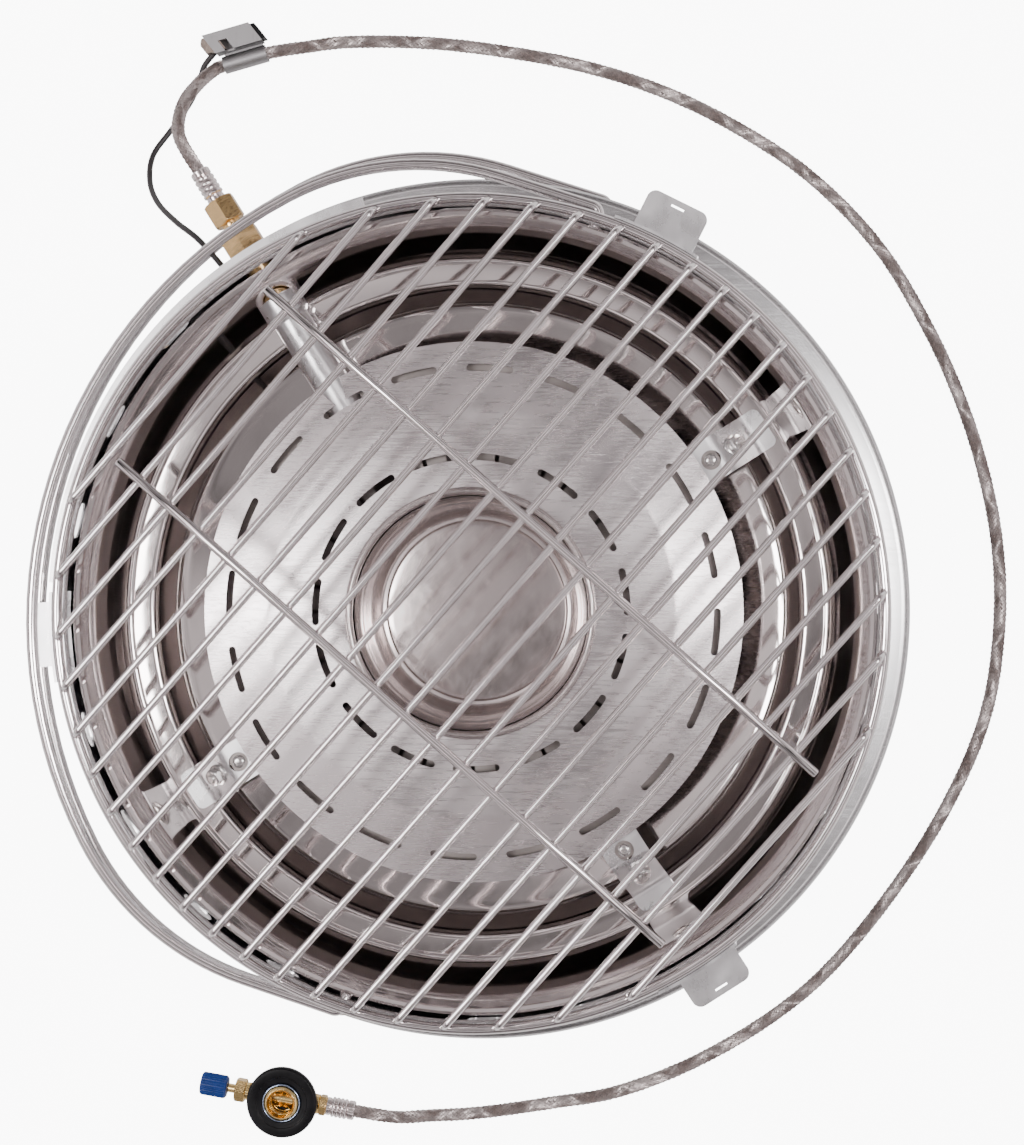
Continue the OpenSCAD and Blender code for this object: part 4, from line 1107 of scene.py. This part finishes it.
# ---------------------------------------------------------------- guard
def rod_tree():
    """Geometry Nodes tree: a row of chords of a circle, each with a bent foot at both ends."""
    tree, inputs = new_tree(
        "Guard Rods",
        [
            ("Count", "NodeSocketInt", 20),
            ("Span", "NodeSocketFloat", 0.3),
            ("Circle", "NodeSocketFloat", 0.17),
            ("Reach", "NodeSocketFloat", 0.004),
            ("Height", "NodeSocketFloat", 0.09),
            ("Turn", "NodeSocketFloat", 0.0),
            ("Run", "NodeSocketObject", None),
            ("Foot", "NodeSocketObject", None),
            ("Finish", "NodeSocketMaterial", None),
        ],
    )

    def math_node(operation, a, b=0.0):
        return add(tree, "ShaderNodeMath", {0: a, 1: b}, operation=operation).outputs[0]

    step = math_node("DIVIDE", inputs["Span"], math_node("SUBTRACT", inputs["Count"], 1.0))
    start = add(
        tree, "ShaderNodeCombineXYZ", {"Y": math_node("MULTIPLY", inputs["Span"], -0.5), "Z": inputs["Height"]}
    )
    offset = add(tree, "ShaderNodeCombineXYZ", {"Y": step})
    line = add(
        tree,
        "GeometryNodeMeshLine",
        {"Count": inputs["Count"], "Start Location": start.outputs[0], "Offset": offset.outputs[0]},
        mode="OFFSET",
        count_mode="TOTAL",
    )
    where = add(tree, "ShaderNodeSeparateXYZ", {"Vector": add(tree, "GeometryNodeInputPosition").outputs[0]})
    square = math_node(
        "SUBTRACT", math_node("POWER", inputs["Circle"], 2.0), math_node("POWER", where.outputs["Y"], 2.0)
    )
    half = math_node("SUBTRACT", math_node("SQRT", square), inputs["Reach"])
    run = add(tree, "GeometryNodeObjectInfo", {"Object": inputs["Run"]}, transform_space="ORIGINAL")
    foot = add(tree, "GeometryNodeObjectInfo", {"Object": inputs["Foot"]}, transform_space="ORIGINAL")
    stretch = add(tree, "ShaderNodeCombineXYZ", {"X": half, "Y": 1.0, "Z": 1.0})
    runs = add(
        tree,
        "GeometryNodeInstanceOnPoints",
        {"Points": line.outputs[0], "Instance": run.outputs["Geometry"], "Scale": stretch.outputs[0]},
    )
    shift = add(tree, "ShaderNodeCombineXYZ", {"X": half})
    ends = add(tree, "GeometryNodeSetPosition", {"Geometry": line.outputs[0], "Offset": shift.outputs[0]})
    feet = add(
        tree, "GeometryNodeInstanceOnPoints", {"Points": ends.outputs[0], "Instance": foot.outputs["Geometry"]}
    )
    other = add(
        tree, "GeometryNodeTransform", {"Geometry": feet.outputs[0], "Rotation": (0, 0, math.pi)}
    )
    joined = tree.nodes.new("GeometryNodeJoinGeometry")
    for part in (other, feet, runs):
        tree.links.new(part.outputs[0], joined.inputs[0])
    real = add(tree, "GeometryNodeRealizeInstances", {"Geometry": joined.outputs[0]})
    welded = add(tree, "GeometryNodeMergeByDistance", {"Geometry": real.outputs[0], "Distance": 0.00001})
    spun = add(tree, "ShaderNodeCombineXYZ", {"Z": inputs["Turn"]})
    placed = add(tree, "GeometryNodeTransform", {"Geometry": welded.outputs[0], "Rotation": spun.outputs[0]})
    return end_tree(tree, placed.outputs[0], inputs["Finish"])


def guard_rods():
    sides = sizes().wire_sides
    radius, bend_r, bend_a, foot_l = ROD_D / 2, 2.5, 68.0, 5.4
    bm = bmesh.new()
    rings = [
        [
            bm.verts.new(
                Vector((x, radius * MM * math.cos(TAU * k / sides), radius * MM * math.sin(TAU * k / sides)))
            )
            for k in range(sides)
        ]
        for x in (-1, 1)
    ]
    for k in range(sides):
        bm.faces.new((rings[0][k], rings[0][(k + 1) % sides], rings[1][(k + 1) % sides], rings[1][k]))
    bmesh.ops.recalc_face_normals(bm, faces=bm.faces)
    run = link_mesh("rod.run", bm, [], 60)
    path = [
        (bend_r * math.sin(math.radians(t)), 0, bend_r * (math.cos(math.radians(t)) - 1)) for t in range(0, 69, 8)
    ]
    path[-1] = (bend_r * math.sin(math.radians(bend_a)), 0, bend_r * (math.cos(math.radians(bend_a)) - 1))
    ex, ez = path[-1][0], path[-1][2]
    c, s = math.cos(math.radians(bend_a)), math.sin(math.radians(bend_a))
    path += [
        (ex + foot_l * 0.5 * c, 0, ez - foot_l * 0.5 * s), (ex + (foot_l - 0.5) * c, 0, ez - (foot_l - 0.5) * s)
    ]
    bm = bmesh.new()
    rows = []
    for i, point in enumerate(path):
        if i == 0:
            direction = Vector((1, 0, 0))
        elif i == len(path) - 1:
            direction = Vector((c, 0, -s))
        else:
            direction = (Vector(path[i + 1]) - Vector(path[i - 1])).normalized()
        side = Vector((0, 1, 0))
        up = direction.cross(side)
        rows.append(
            [
                bm.verts.new(
                    (
                        Vector(point) + radius * (side * math.cos(TAU * k / sides) - up * math.sin(TAU * k / sides))
                    ) * MM
                )
                for k in range(sides)
            ]
        )
    tip = [
        bm.verts.new(
            (
                Vector((ex + foot_l * c, 0, ez - foot_l * s)) + radius * 0.72 * (
                    Vector((0, 1, 0)) * math.cos(TAU * k / sides) - Vector((c, 0, -s)).cross(Vector((0, 1, 0))) * math.sin(TAU * k / sides)
                )
            ) * MM
        )
        for k in range(sides)
    ]
    rows.append(tip)
    for a, b in zip(rows, rows[1:]):
        for k in range(sides):
            bm.faces.new((a[k], a[(k + 1) % sides], b[(k + 1) % sides], b[k]))
    bm.faces.new(tip)
    bmesh.ops.recalc_face_normals(bm, faces=bm.faces)
    foot = link_mesh("rod.foot", bm, [], 60)
    holder = bpy.data.objects.new("rods.row", bpy.data.meshes.new("rods"))
    bpy.context.scene.collection.objects.link(holder)
    modifier = holder.modifiers.new("rods", "NODES")
    modifier.node_group = rod_tree()
    set_inputs(
        modifier,
        {
            "Count": ROD_COUNT,
            "Span": ROD_SPAN * MM,
            "Circle": (RING_R - 0.9) * MM,
            "Reach": (bend_r * s + foot_l * c) * MM,
            "Height": ROD_Z * MM,
            "Turn": math.radians(ROD_ANGLE),
            "Run": run,
            "Foot": foot,
            "Finish": finish("wire"),
        },
    )
    rods = bake(holder, "guard_rods_bent", modifier, 60)
    bpy.data.objects.remove(run)
    bpy.data.objects.remove(foot)
    settle(rods, "heater", "wire", "guard_rods")


def guard():
    steps = 360
    circle = [
        (RING_R * math.cos(TAU * k / steps), RING_R * math.sin(TAU * k / steps), RING_Z) for k in range(steps)
    ]
    ring = tube("guard_ring_wire", circle, RING_D / 2, finish("wire"), closed=True)
    settle(ring, "heater", "wire", "guard_ring")
    guard_rods()
    bm = bmesh.new()
    turn = spin_z(ROD_ANGLE - 90)
    for side in (-1, 1):
        path = [
            turn @ Vector((x, side * CROSS_GAP, CROSS_Z))
            for x in (-CROSS_L / 2, -CROSS_L / 4, 0, CROSS_L / 4, CROSS_L / 2)
        ]
        sweep_into(bm, path, CROSS_D / 2, sizes().wire_sides, bevel=0.35)
    bmesh.ops.recalc_face_normals(bm, faces=bm.faces)
    cross = link_mesh("guard_cross_rods_cut", bm, [finish("wire")], 50)
    settle(cross, "heater", "wire", "guard_cross_rods")


# ---------------------------------------------------------------- stand
def loop_path(z, leg_v, bar_u):
    """Centre line of one wire loop, from pivot tip to pivot tip."""
    tip, bend = CASING_R - 5.4, 3.4
    corner_v = leg_v - LOOP_CORNER
    bar_r = LOOP_CORNER + corner_v * math.sqrt(2)
    leg = bar_u - bar_r + corner_v

    def arc(u, v, r, turns):
        return [(u + r * math.cos(math.radians(a)), v + r * math.sin(math.radians(a))) for a in turns]

    half = [(0, tip), (0, leg_v - bend)]
    half += arc(bend, leg_v - bend, bend, range(170, 89, -10))
    half += [(leg * k / 4, leg_v) for k in range(1, 4)]
    half += arc(leg, corner_v, LOOP_CORNER, range(90, 45, -3))
    half += arc(leg - corner_v, 0, bar_r, range(45, 0, -3))
    points = half + [(bar_u, 0)] + [(u, -v) for u, v in half[::-1]]
    turn = spin_z(LOOP_ANGLE)
    return [turn @ Vector((u, v, z)) for u, v in points]


def stand():
    for which, z, leg_gap, bar_gap in (("front", FRONT_Z, 3.6, 12.1), ("rear", REAR_Z, 10.9, 17.8)):
        path = loop_path(z, CASING_R + leg_gap, CASING_R + bar_gap)
        wire = tube(f"{which}_loop_wire", path, LOOP_D / 2, finish("wire"), 24, bevel=0.5)
        settle(wire, f"{which}_stand", "wire", f"{which}_loop")
        dress(f"loop_washers_{which}", "plated")


# ---------------------------------------------------------------- gas inlet
def nut_profile(across, length, bore, chamfer=0.8):
    """Outline of a bevelled nut; the flats are cut by the lathe."""
    corner = across / 2 / math.cos(math.pi / 6)
    low = across / 2 * 0.97
    profile = [(bore, 0)]
    for k in range(7):
        profile.append((low + (corner + 0.3 - low) * k / 6, chamfer * k / 6))
    for k in range(7):
        profile.append((corner + 0.3 - (corner + 0.3 - low) * k / 6, length - chamfer + chamfer * k / 6))
    profile.append((bore, length))
    return profile


def shifted(profile, z):
    return [(r, h + z) for r, h in profile]


def thread_profile(r, z0, z1, pitch, depth, bore):
    """Outline of a turned screw with round-crested grooves."""
    profile = [(bore, z0)]
    count = int((z1 - z0) / pitch)
    for k in range(count):
        z = z0 + pitch * k
        profile += [
            (r - depth, z + pitch * 0.08), (r, z + pitch * 0.42), (r, z + pitch * 0.58),
            (r - depth, z + pitch * 0.92)
        ]
    profile.append((bore, z1))
    return profile


def ferrule_profile(length, d, bore):
    """Outline of a crimped hose ferrule: collar, pressed flats, rolled lip."""
    run = [(bore, 0), (d / 2 - 0.7, 0), (d / 2 - 0.3, 0.5), (d / 2 - 0.3, 1.8), (d / 2 - 0.75, 2.3)]
    for k in range(1, 12):
        run.append((d / 2 + (0.2 if k % 3 else -0.35), 2.3 + (length - 5.6) * k / 12))
    run += [
        (d / 2 - 0.6, length - 3.1), (d / 2, length - 2.6), (d / 2, length - 0.5), (d / 2 - 0.4, length),
        (bore, length)
    ]
    return run


def inlet():
    place = radial(INLET_A, INLET_Z)
    fit_in, nut_in = 154.0, CASING_R + 5.2
    body = [
        (2.0, fit_in), (5.8, fit_in), (6.4, fit_in + 0.6), (6.4, CASING_R + 0.4), (7.7, CASING_R + 0.5),
        (7.8, CASING_R + 1.0),
        (7.8, nut_in - 0.4), (7.4, nut_in), (6.3, nut_in + 0.1), (6.3, nut_in + 10.8), (4.15, nut_in + 11),
        (4.15, nut_in + 20.5), (2.0, nut_in + 20.5),
    ]
    fitting = lathes("inlet_fitting_turned", [{"outline": body}], finish("brass"), matrix=place, segments=72)
    settle(fitting, "heater", "brass", "inlet_fitting")
    big = lathe(
        "inlet_nut_hex", shifted(nut_profile(16, 12, 6.45, 1.3), nut_in), finish("brass"), matrix=place,
        segments=96, flats=(6, 16, nut_in, nut_in + 12)
    )
    settle(big, "heater", "brass", "inlet_nut")
    small_in = nut_in + 17
    small = lathe(
        "hose_nut_hex", shifted(nut_profile(13, 11, 4.2, 1.1), small_in), finish("brass"), matrix=place,
        segments=96, flats=(6, 13, small_in, small_in + 11)
    )
    settle(small, "heater", "brass", "hose_nut")
    ferrule_in = small_in + 11
    ferrule = lathe(
        "inlet_ferrule_crimped", shifted(ferrule_profile(15, 8.6, 2.9), ferrule_in), finish("crimp"), matrix=place,
        segments=64
    )
    settle(ferrule, "heater", "crimp_metal", "inlet_ferrule")
    dress("gas_jet", "brass")
    dress("lead_bushing", "rubber")


# ---------------------------------------------------------------- canister valve
def valve():
    stand_up = on_valve()
    body = [
        (0.001, 0), (8.6, 0), (9.5, 0.9), (9.5, 14.4), (9.0, 15.2), (7.5, 15.4), (7.5, 20.2), (6.5, 21.2),
        (6.35, 21.2), (5.3, 19.9),
        (5.3, 9.2), (0.001, 9.2),
    ]
    threads = [(5.3, 11.0)]
    for k in range(10):
        z = 11.0 + 0.9 * k
        threads += [(5.22, z + 0.1), (5.24, z + 0.3), (5.6, z + 0.62)]
    barrel = bmesh.new()
    lathe_into(
        barrel,
        rounded(body[:9], 0.3, 2) + [(5.6, 19.9)] + [
            (r, z) for r, z in threads[::-1][1:-1]
        ] + [(5.3, 10.6), (5.3, 9.2), (0.001, 9.2)],
        matrix=stand_up, segments=96
    )
    finish_mesh(barrel)
    port = bmesh.new()
    lathe_into(
        port, [(0.001, -16), (4.0, -16), (4.4, -15.6), (4.4, 15.6), (4.0, 16), (0.001, 16)], matrix=on_valve(0),
        segments=48
    )
    finish_mesh(port)
    mesh = bpy.data.meshes.new("port")
    port.to_mesh(mesh)
    port.free()
    barrel.from_mesh(mesh)
    bpy.data.meshes.remove(mesh)
    piece = link_mesh("valve_body_turned", barrel, [finish("gold")])
    settle(piece, "heater", "brass", "valve_body")
    collar = rounded(
        [
            (7.6, 15.4), (15.2, 15.4), (15.75, 16.0), (15.75, 18.5), (15.0, 19.35), (11.6, 19.35), (11.3, 18.9),
            (9.2, 18.9), (8.75, 18.6), (8.75, 17.6), (7.6, 17.6)
        ],
        0.25, 3,
    )
    piece = lathe("valve_collar_black", collar, finish("black"), matrix=stand_up, segments=120)
    settle(piece, "heater", "collar_black", "valve_collar")
    ring = rounded([(7.75, 17.65), (8.65, 17.65), (8.65, 19.3), (8.3, 19.8), (7.95, 19.8), (7.75, 19.4)], 0.15, 2)
    piece = lathe("collar_ring_tinted", ring, finish("blue"), matrix=stand_up, segments=96)
    settle(piece, "heater", "blue_chrome", "collar_ring")
    seal = [
        (3.2 + 1.9 / 2 + 0.95 * math.cos(TAU * k / 16), 10.1 + 0.75 * math.sin(TAU * k / 16)) for k in range(16)
    ]
    piece = lathe("socket_seal_ring", seal, finish("rubber"), matrix=stand_up, segments=64)
    settle(piece, "heater", "black_rubber", "socket_seal")
    pin = [(0.001, 9.2), (2.8, 9.2), (2.8, 9.9), (2.4, 10.2), (1.1, 10.3), (1.0, 11.7), (0.7, 12.15), (0.001, 12.2)]
    piece = lathe("depressor_pin_turned", pin, finish("gold"), matrix=stand_up, segments=48)
    settle(piece, "heater", "brass", "depressor_pin")
    place = on_valve(-22.6)
    nut = bmesh.new()
    lathe_into(nut, nut_profile(9.6, 4.8, 2.06, 0.7), matrix=place, segments=72, flats=(6, 9.6, 0, 4.8))
    lathe_into(
        nut, [(2.06, 4.8), (4.0, 4.8), (4.0, 6.4), (2.9, 6.6), (2.9, 9.4), (2.06, 9.4)], matrix=place, segments=48
    )
    bmesh.ops.recalc_face_normals(nut, faces=nut.faces)
    piece = link_mesh("packing_nut_hex", nut, [finish("gold")])
    settle(piece, "heater", "brass", "packing_nut")
    place = on_valve(-34.4)
    spindle = rounded([(0.001, 0), (2.0, 0), (2.0, 22), (0.6, 25), (0.001, 25)], 0.2, 2)
    piece = lathe("valve_spindle_turned", spindle, finish("gold"), matrix=place, segments=40)
    settle(piece, "control_knob", "brass", "valve_spindle")
    knob()
    place = on_valve(16)
    piece = lathe(
        "valve_hose_nut_hex", nut_profile(8.4, 3, 2.1, 0.5), finish("gold"), matrix=place, segments=72,
        flats=(6, 8.4, 0, 3)
    )
    settle(piece, "heater", "brass", "valve_hose_nut")
    place = on_valve(19)
    piece = lathe(
        "valve_ferrule_crimped", ferrule_profile(13, 8.6, 2.9), finish("crimp"), matrix=place, segments=64
    )
    settle(piece, "heater", "crimp_metal", "valve_ferrule")


def knob():
    """A turned core with rounded grip ribs set round it."""
    place = on_valve(-38.4)
    length, r = 12.0, 5.2
    core = rounded(
        [
            (0.001, 0.3), (3.4, 0.3), (3.7, 0), (4.5, 0), (4.8, 0.4), (4.8, length - 0.6), (4.3, length),
            (2.01, length), (2.01, 4), (0.001, 4)
        ],
        0.2, 3
    )
    bm = bmesh.new()
    lathe_into(bm, core, matrix=place, segments=72)
    finish_mesh(bm)
    rib = bmesh.new()
    path = [(0, 0, 0.3), (0, 0, 0.9), (0, 0, 4), (0, 0, 8), (0, 0, length - 1.1), (0, 0, length - 0.5)]
    rows = []
    for i, (_, _, z) in enumerate(path):
        drop = 0.3 if i in (0, len(path) - 1) else 0.0
        rows.append(
            [
                rib.verts.new(
                    Vector((r - 0.42 - drop + 0.4 * math.cos(TAU * k / 8), 0.3 * math.sin(TAU * k / 8), z)) * MM
                )
                for k in range(8)
            ]
        )
    for a, b in zip(rows, rows[1:]):
        for k in range(8):
            rib.faces.new((a[k], a[(k + 1) % 8], b[(k + 1) % 8], b[k]))
    rib.faces.new(rows[0][::-1])
    rib.faces.new(rows[-1])
    template = link_mesh("rib", rib, [])
    count = sizes().knob_ribs
    ribs = spread("ribs", template, [place @ spin_z(360 * k / count) for k in range(count)], finish("knob"))
    bm.from_mesh(ribs.data)
    bpy.data.objects.remove(ribs)
    piece = link_mesh("valve_knob_ribbed", bm, [finish("knob")])
    settle(piece, "control_knob", "blue_knob", "valve_knob")


# ---------------------------------------------------------------- igniter
def igniter():
    for node, name in (("igniter_housing", "igniter"), ("igniter_unit", "black"), ("igniter_button", "button")):
        dress(node, name)


# ---------------------------------------------------------------- fasteners
def rivet_template(grip, d=3.0):
    """A rivet with a domed head and a rolled tail, holding from z = 0 to grip."""
    outline = [
        (0.001, -0.95), (1.6, -0.9), (2.5, -0.55), (2.7, -0.1), (2.65, 0), (d / 2, 0), (d / 2, grip), (2.75, grip),
        (2.8, grip + 0.2), (2.3, grip + 0.75), (1.3, grip + 1.0), (0.001, grip + 1.0)
    ]
    bm = bmesh.new()
    lathe_into(bm, outline, segments=20)
    finish_mesh(bm)
    return link_mesh("rivet", bm, [])


def fasteners():
    places = [
        radial(CLIP_A + 120 * i + s * 4.4, 58) @ Matrix.Translation((0, 0, CASING_R - 1.65)) for i in range(3)
        for s in (-1, 1)
    ]
    piece = spread("clip_rivets_domed", rivet_template(3.7), places, finish("plated"))
    settle(piece, "heater", "fastener_steel", "clip_rivets")
    places = [
        radial(LOOP_ANGLE + turn + s * 6.2, z) @ Matrix.Translation((0, 0, CASING_R - 1.65))
        for turn in (-90, 90) for z in (FRONT_Z, REAR_Z) for s in (-1, 1)
    ]
    piece = spread("plate_rivets_domed", rivet_template(1.7), places, finish("plated"))
    settle(piece, "heater", "fastener_steel", "plate_rivets")
    places = [spin_z(BRACKET_A + turn) @ Matrix.Translation((TAB_R, 0, 56.95)) for turn in BRACKET_TURNS]
    piece = spread("tab_rivets_domed", rivet_template(0.9), places, finish("plated"))
    settle(piece, "heater", "fastener_steel", "tab_rivets")
    stud = bmesh.new()
    lathe_into(
        stud,
        [
            (0.001, -24), (2, -24), (2, 1.2)
        ] + thread_profile(2.0, 1.2, 5.9, 0.7, 0.28, 0.001)[1:-1] + [(1.4, 6.2), (0.001, 6.2)],
        segments=24
    )
    finish_mesh(stud)
    template = link_mesh("stud", stud, [])
    piece = spread("bracket_studs_threaded", template, [at_screw(turn) for turn in BRACKET_TURNS], finish("plated"))
    settle(piece, "heater", "fastener_steel", "bracket_studs")
    nut = bmesh.new()
    lathe_into(
        nut, [(2.0, 1.2), (4.5, 1.2), (4.7, 1.5), (4.7, 1.9), (4.3, 2.15), (3.4, 2.3), (2.0, 2.3)], segments=48
    )
    lathe_into(nut, shifted(nut_profile(7, 3.1, 2.0, 0.6), 2.3), segments=48, flats=(6, 7, 2.3, 5.4))
    bmesh.ops.recalc_face_normals(nut, faces=nut.faces)
    template = link_mesh("nut", nut, [])
    piece = spread(
        "bracket_nuts_flanged", template, [at_screw(turn) @ spin_z(17) for turn in BRACKET_TURNS], finish("plated")
    )
    settle(piece, "heater", "fastener_steel", "bracket_nuts")


# ---------------------------------------------------------------- stage
def stage():
    bm = bmesh.new()
    bmesh.ops.create_grid(bm, x_segments=2, y_segments=2, size=3.0)
    bmesh.ops.translate(bm, verts=bm.verts, vec=(0, 0, -0.0002))
    material, tree, shader, coords = finish_base("Pale floor", (0.80, 0.80, 0.80), 0.0, 0.7)
    shader.inputs["Specular IOR Level"].default_value = 0.1
    shader.inputs["Emission Color"].default_value = (1, 1, 1, 1)
    # The sweep glows where it is seen, so that it stays white behind the heater, and gives the metal little light
    seen = add(tree, "ShaderNodeLightPath").outputs["Is Camera Ray"]
    glow = add(tree, "ShaderNodeMapRange", {"Value": seen, "To Min": 0.15, "To Max": 9.0})
    tree.links.new(glow.outputs[0], shader.inputs["Emission Strength"])
    tone = ramp(tree, grain(tree, coords, (3, 3, 3), 2.0), [(0.3, (0.79, 0.79, 0.79)), (0.7, (0.81, 0.81, 0.81))])
    tree.links.new(tone, shader.inputs["Base Color"])
    link_mesh("floor", bm, [material])

    camera = bpy.data.objects.new("camera", bpy.data.cameras.new("camera"))
    bpy.context.scene.collection.objects.link(camera)
    camera.data.lens = 81.1
    camera.data.sensor_width = 36
    camera.location = (0.10126, 0.04416, 1.150)
    camera.rotation_euler = (-0.0249, 0.0773, 0)
    bpy.context.scene.camera = camera

    def light(name, place, target, size, power, colour=(1, 1, 1)):
        data = bpy.data.lights.new(name, "AREA")
        data.shape = "RECTANGLE"
        data.size, data.size_y = size
        data.energy = power
        data.color = colour
        lamp = bpy.data.objects.new(name, data)
        bpy.context.scene.collection.objects.link(lamp)
        lamp.location = place
        lamp.rotation_euler = (Vector(target) - Vector(place)).to_track_quat("-Z", "Y").to_euler()

    light("east", (0.92, 0.10, 1.9), (0, 0, 0), (0.35, 0.9), 15, (1.0, 0.975, 0.975))
    light("west", (-0.92, -0.06, 1.9), (0, 0, 0), (0.35, 0.9), 15, (1.0, 0.98, 0.975))

    world = bpy.data.worlds.new("Studio tent")
    bpy.context.scene.world = world
    world.use_nodes = True
    tree = world.node_tree
    background = tree.nodes["Background"]
    direction = add(tree, "ShaderNodeTexCoord").outputs["Generated"]
    parts = add(tree, "ShaderNodeSeparateXYZ", {"Vector": direction})

    def maths(operation, a, b):
        return add(tree, "ShaderNodeMath", {0: a, 1: b}, operation=operation).outputs[0]

    levels = (
        (0.0, 0.10), (0.12, 0.12), (0.17, 1.7), (0.23, 1.7), (0.27, 0.08), (0.38, 0.10), (0.42, 1.3), (0.46, 1.1),
        (0.50, 0.06), (0.60, 0.05), (0.64, 0.7), (0.69, 0.6), (0.73, 0.05), (0.785, 0.07), (0.81, 2.6),
        (0.865, 2.6),
        (0.885, 0.26), (0.93, 0.40), (1.0, 0.50),
    )
    tent_power = 4.0
    bands = ramp(
        tree, parts.outputs["Z"],
        [(z, [level * c / tent_power for c in (1.0, 0.915, 0.925)]) for z, level in levels]
    )
    # The tent is open at two facing sides, and its panels differ in tone
    across = maths("MULTIPLY", parts.outputs["X"], parts.outputs["X"])
    along = maths("MULTIPLY", parts.outputs["Y"], parts.outputs["Y"])
    fan = maths("DIVIDE", maths("SUBTRACT", across, along), maths("ADD", maths("ADD", across, along), 0.003))
    spot = add(
        tree, "ShaderNodeCombineXYZ",
        {"X": maths("MULTIPLY", parts.outputs["Z"], 17.0), "Y": maths("MULTIPLY", fan, 1.1)}
    )
    panels = add(
        tree, "ShaderNodeTexNoise", {"Vector": spot.outputs[0], "Scale": 1.0, "Detail": 3.0, "Roughness": 0.6}
    )
    panel_tone = add(
        tree, "ShaderNodeMapRange",
        {"Value": panels.outputs["Fac"], "From Min": 0.36, "From Max": 0.64, "To Min": 0.45, "To Max": 1.5}
    )
    fan_tone = maths("ADD", maths("MULTIPLY", fan, 0.5), 1.0)
    tree.links.new(bands, background.inputs["Color"])
    strength = maths("MULTIPLY", maths("MULTIPLY", panel_tone.outputs[0], fan_tone), tent_power)
    tree.links.new(strength, background.inputs["Strength"])


# ---------------------------------------------------------------- operators and panel
def operator(idname, label, text, action):
    """One operator class for one piece or group of pieces."""

    def execute(self, context):
        action()
        return {"FINISHED"}

    name = "HEATER_OT_" + idname
    return type(
        name, (bpy.types.Operator,),
        {"bl_idname": "heater." + idname, "bl_label": label, "__doc__": text, "execute": execute}
    )


def hose_and_lead():
    braided_hose()
    ignition_lead()


def casing():
    casing_wall()
    casing_shells()
    clips()


OPERATORS = [
    operator("stage", "Stage", "Adds the camera, the lights and the pale floor", stage),
    operator("inlet", "Gas Inlet", "Turns the brass inlet fittings and the crimp ferrule", inlet),
    operator("valve", "Canister Valve", "Builds the screw-on valve and its ribbed knob", valve),
    operator("igniter", "Igniter", "Dresses the igniter that sits on the hose", igniter),
    operator("cords", "Hose and Lead", "Weaves the braided hose and lays the ignition lead", hose_and_lead),
    operator("casing", "Casing", "Rolls the casing wall, rear shell and flange", casing),
    operator("reflectors", "Reflectors", "Spins the two mirror reflectors", reflectors),
    operator("burner", "Burner", "Presses the slotted heat plate, hub, tube and brackets", burner),
    operator("guard", "Guard", "Bends the guard ring and its rods", guard),
    operator("stand", "Stand", "Bends the two wire stand loops", stand),
    operator("fasteners", "Fasteners", "Sets the rivets, studs and nuts", fasteners),
]


class HEATER_PT_panel(bpy.types.Panel):
    """Lists the heater's settings and its pieces"""

    bl_label = "Dish Heater"
    bl_idname = "HEATER_PT_panel"
    bl_space_type = "VIEW_3D"
    bl_region_type = "UI"
    bl_category = "Heater"

    def draw(self, context):
        for group in (context.scene.heater_sizes, context.scene.heater_colours):
            for prop in group.bl_rna.properties:
                if prop.identifier not in ("rna_type", "name"):
                    self.layout.prop(group, prop.identifier)
        for item in OPERATORS:
            self.layout.operator(item.bl_idname)


CLASSES = [HeaterSizes, HeaterColours, *OPERATORS, HEATER_PT_panel]


def register():
    for item in CLASSES:
        bpy.utils.register_class(item)
    bpy.types.Scene.heater_sizes = bpy.props.PointerProperty(type=HeaterSizes)
    bpy.types.Scene.heater_colours = bpy.props.PointerProperty(type=HeaterColours)


def unregister():
    del bpy.types.Scene.heater_sizes
    del bpy.types.Scene.heater_colours
    for item in reversed(CLASSES):
        bpy.utils.unregister_class(item)


def main():
    register()
    for item in OPERATORS:
        getattr(bpy.ops.heater, item.bl_idname.split(".")[1])()


if __name__ == "__main__":
    main()
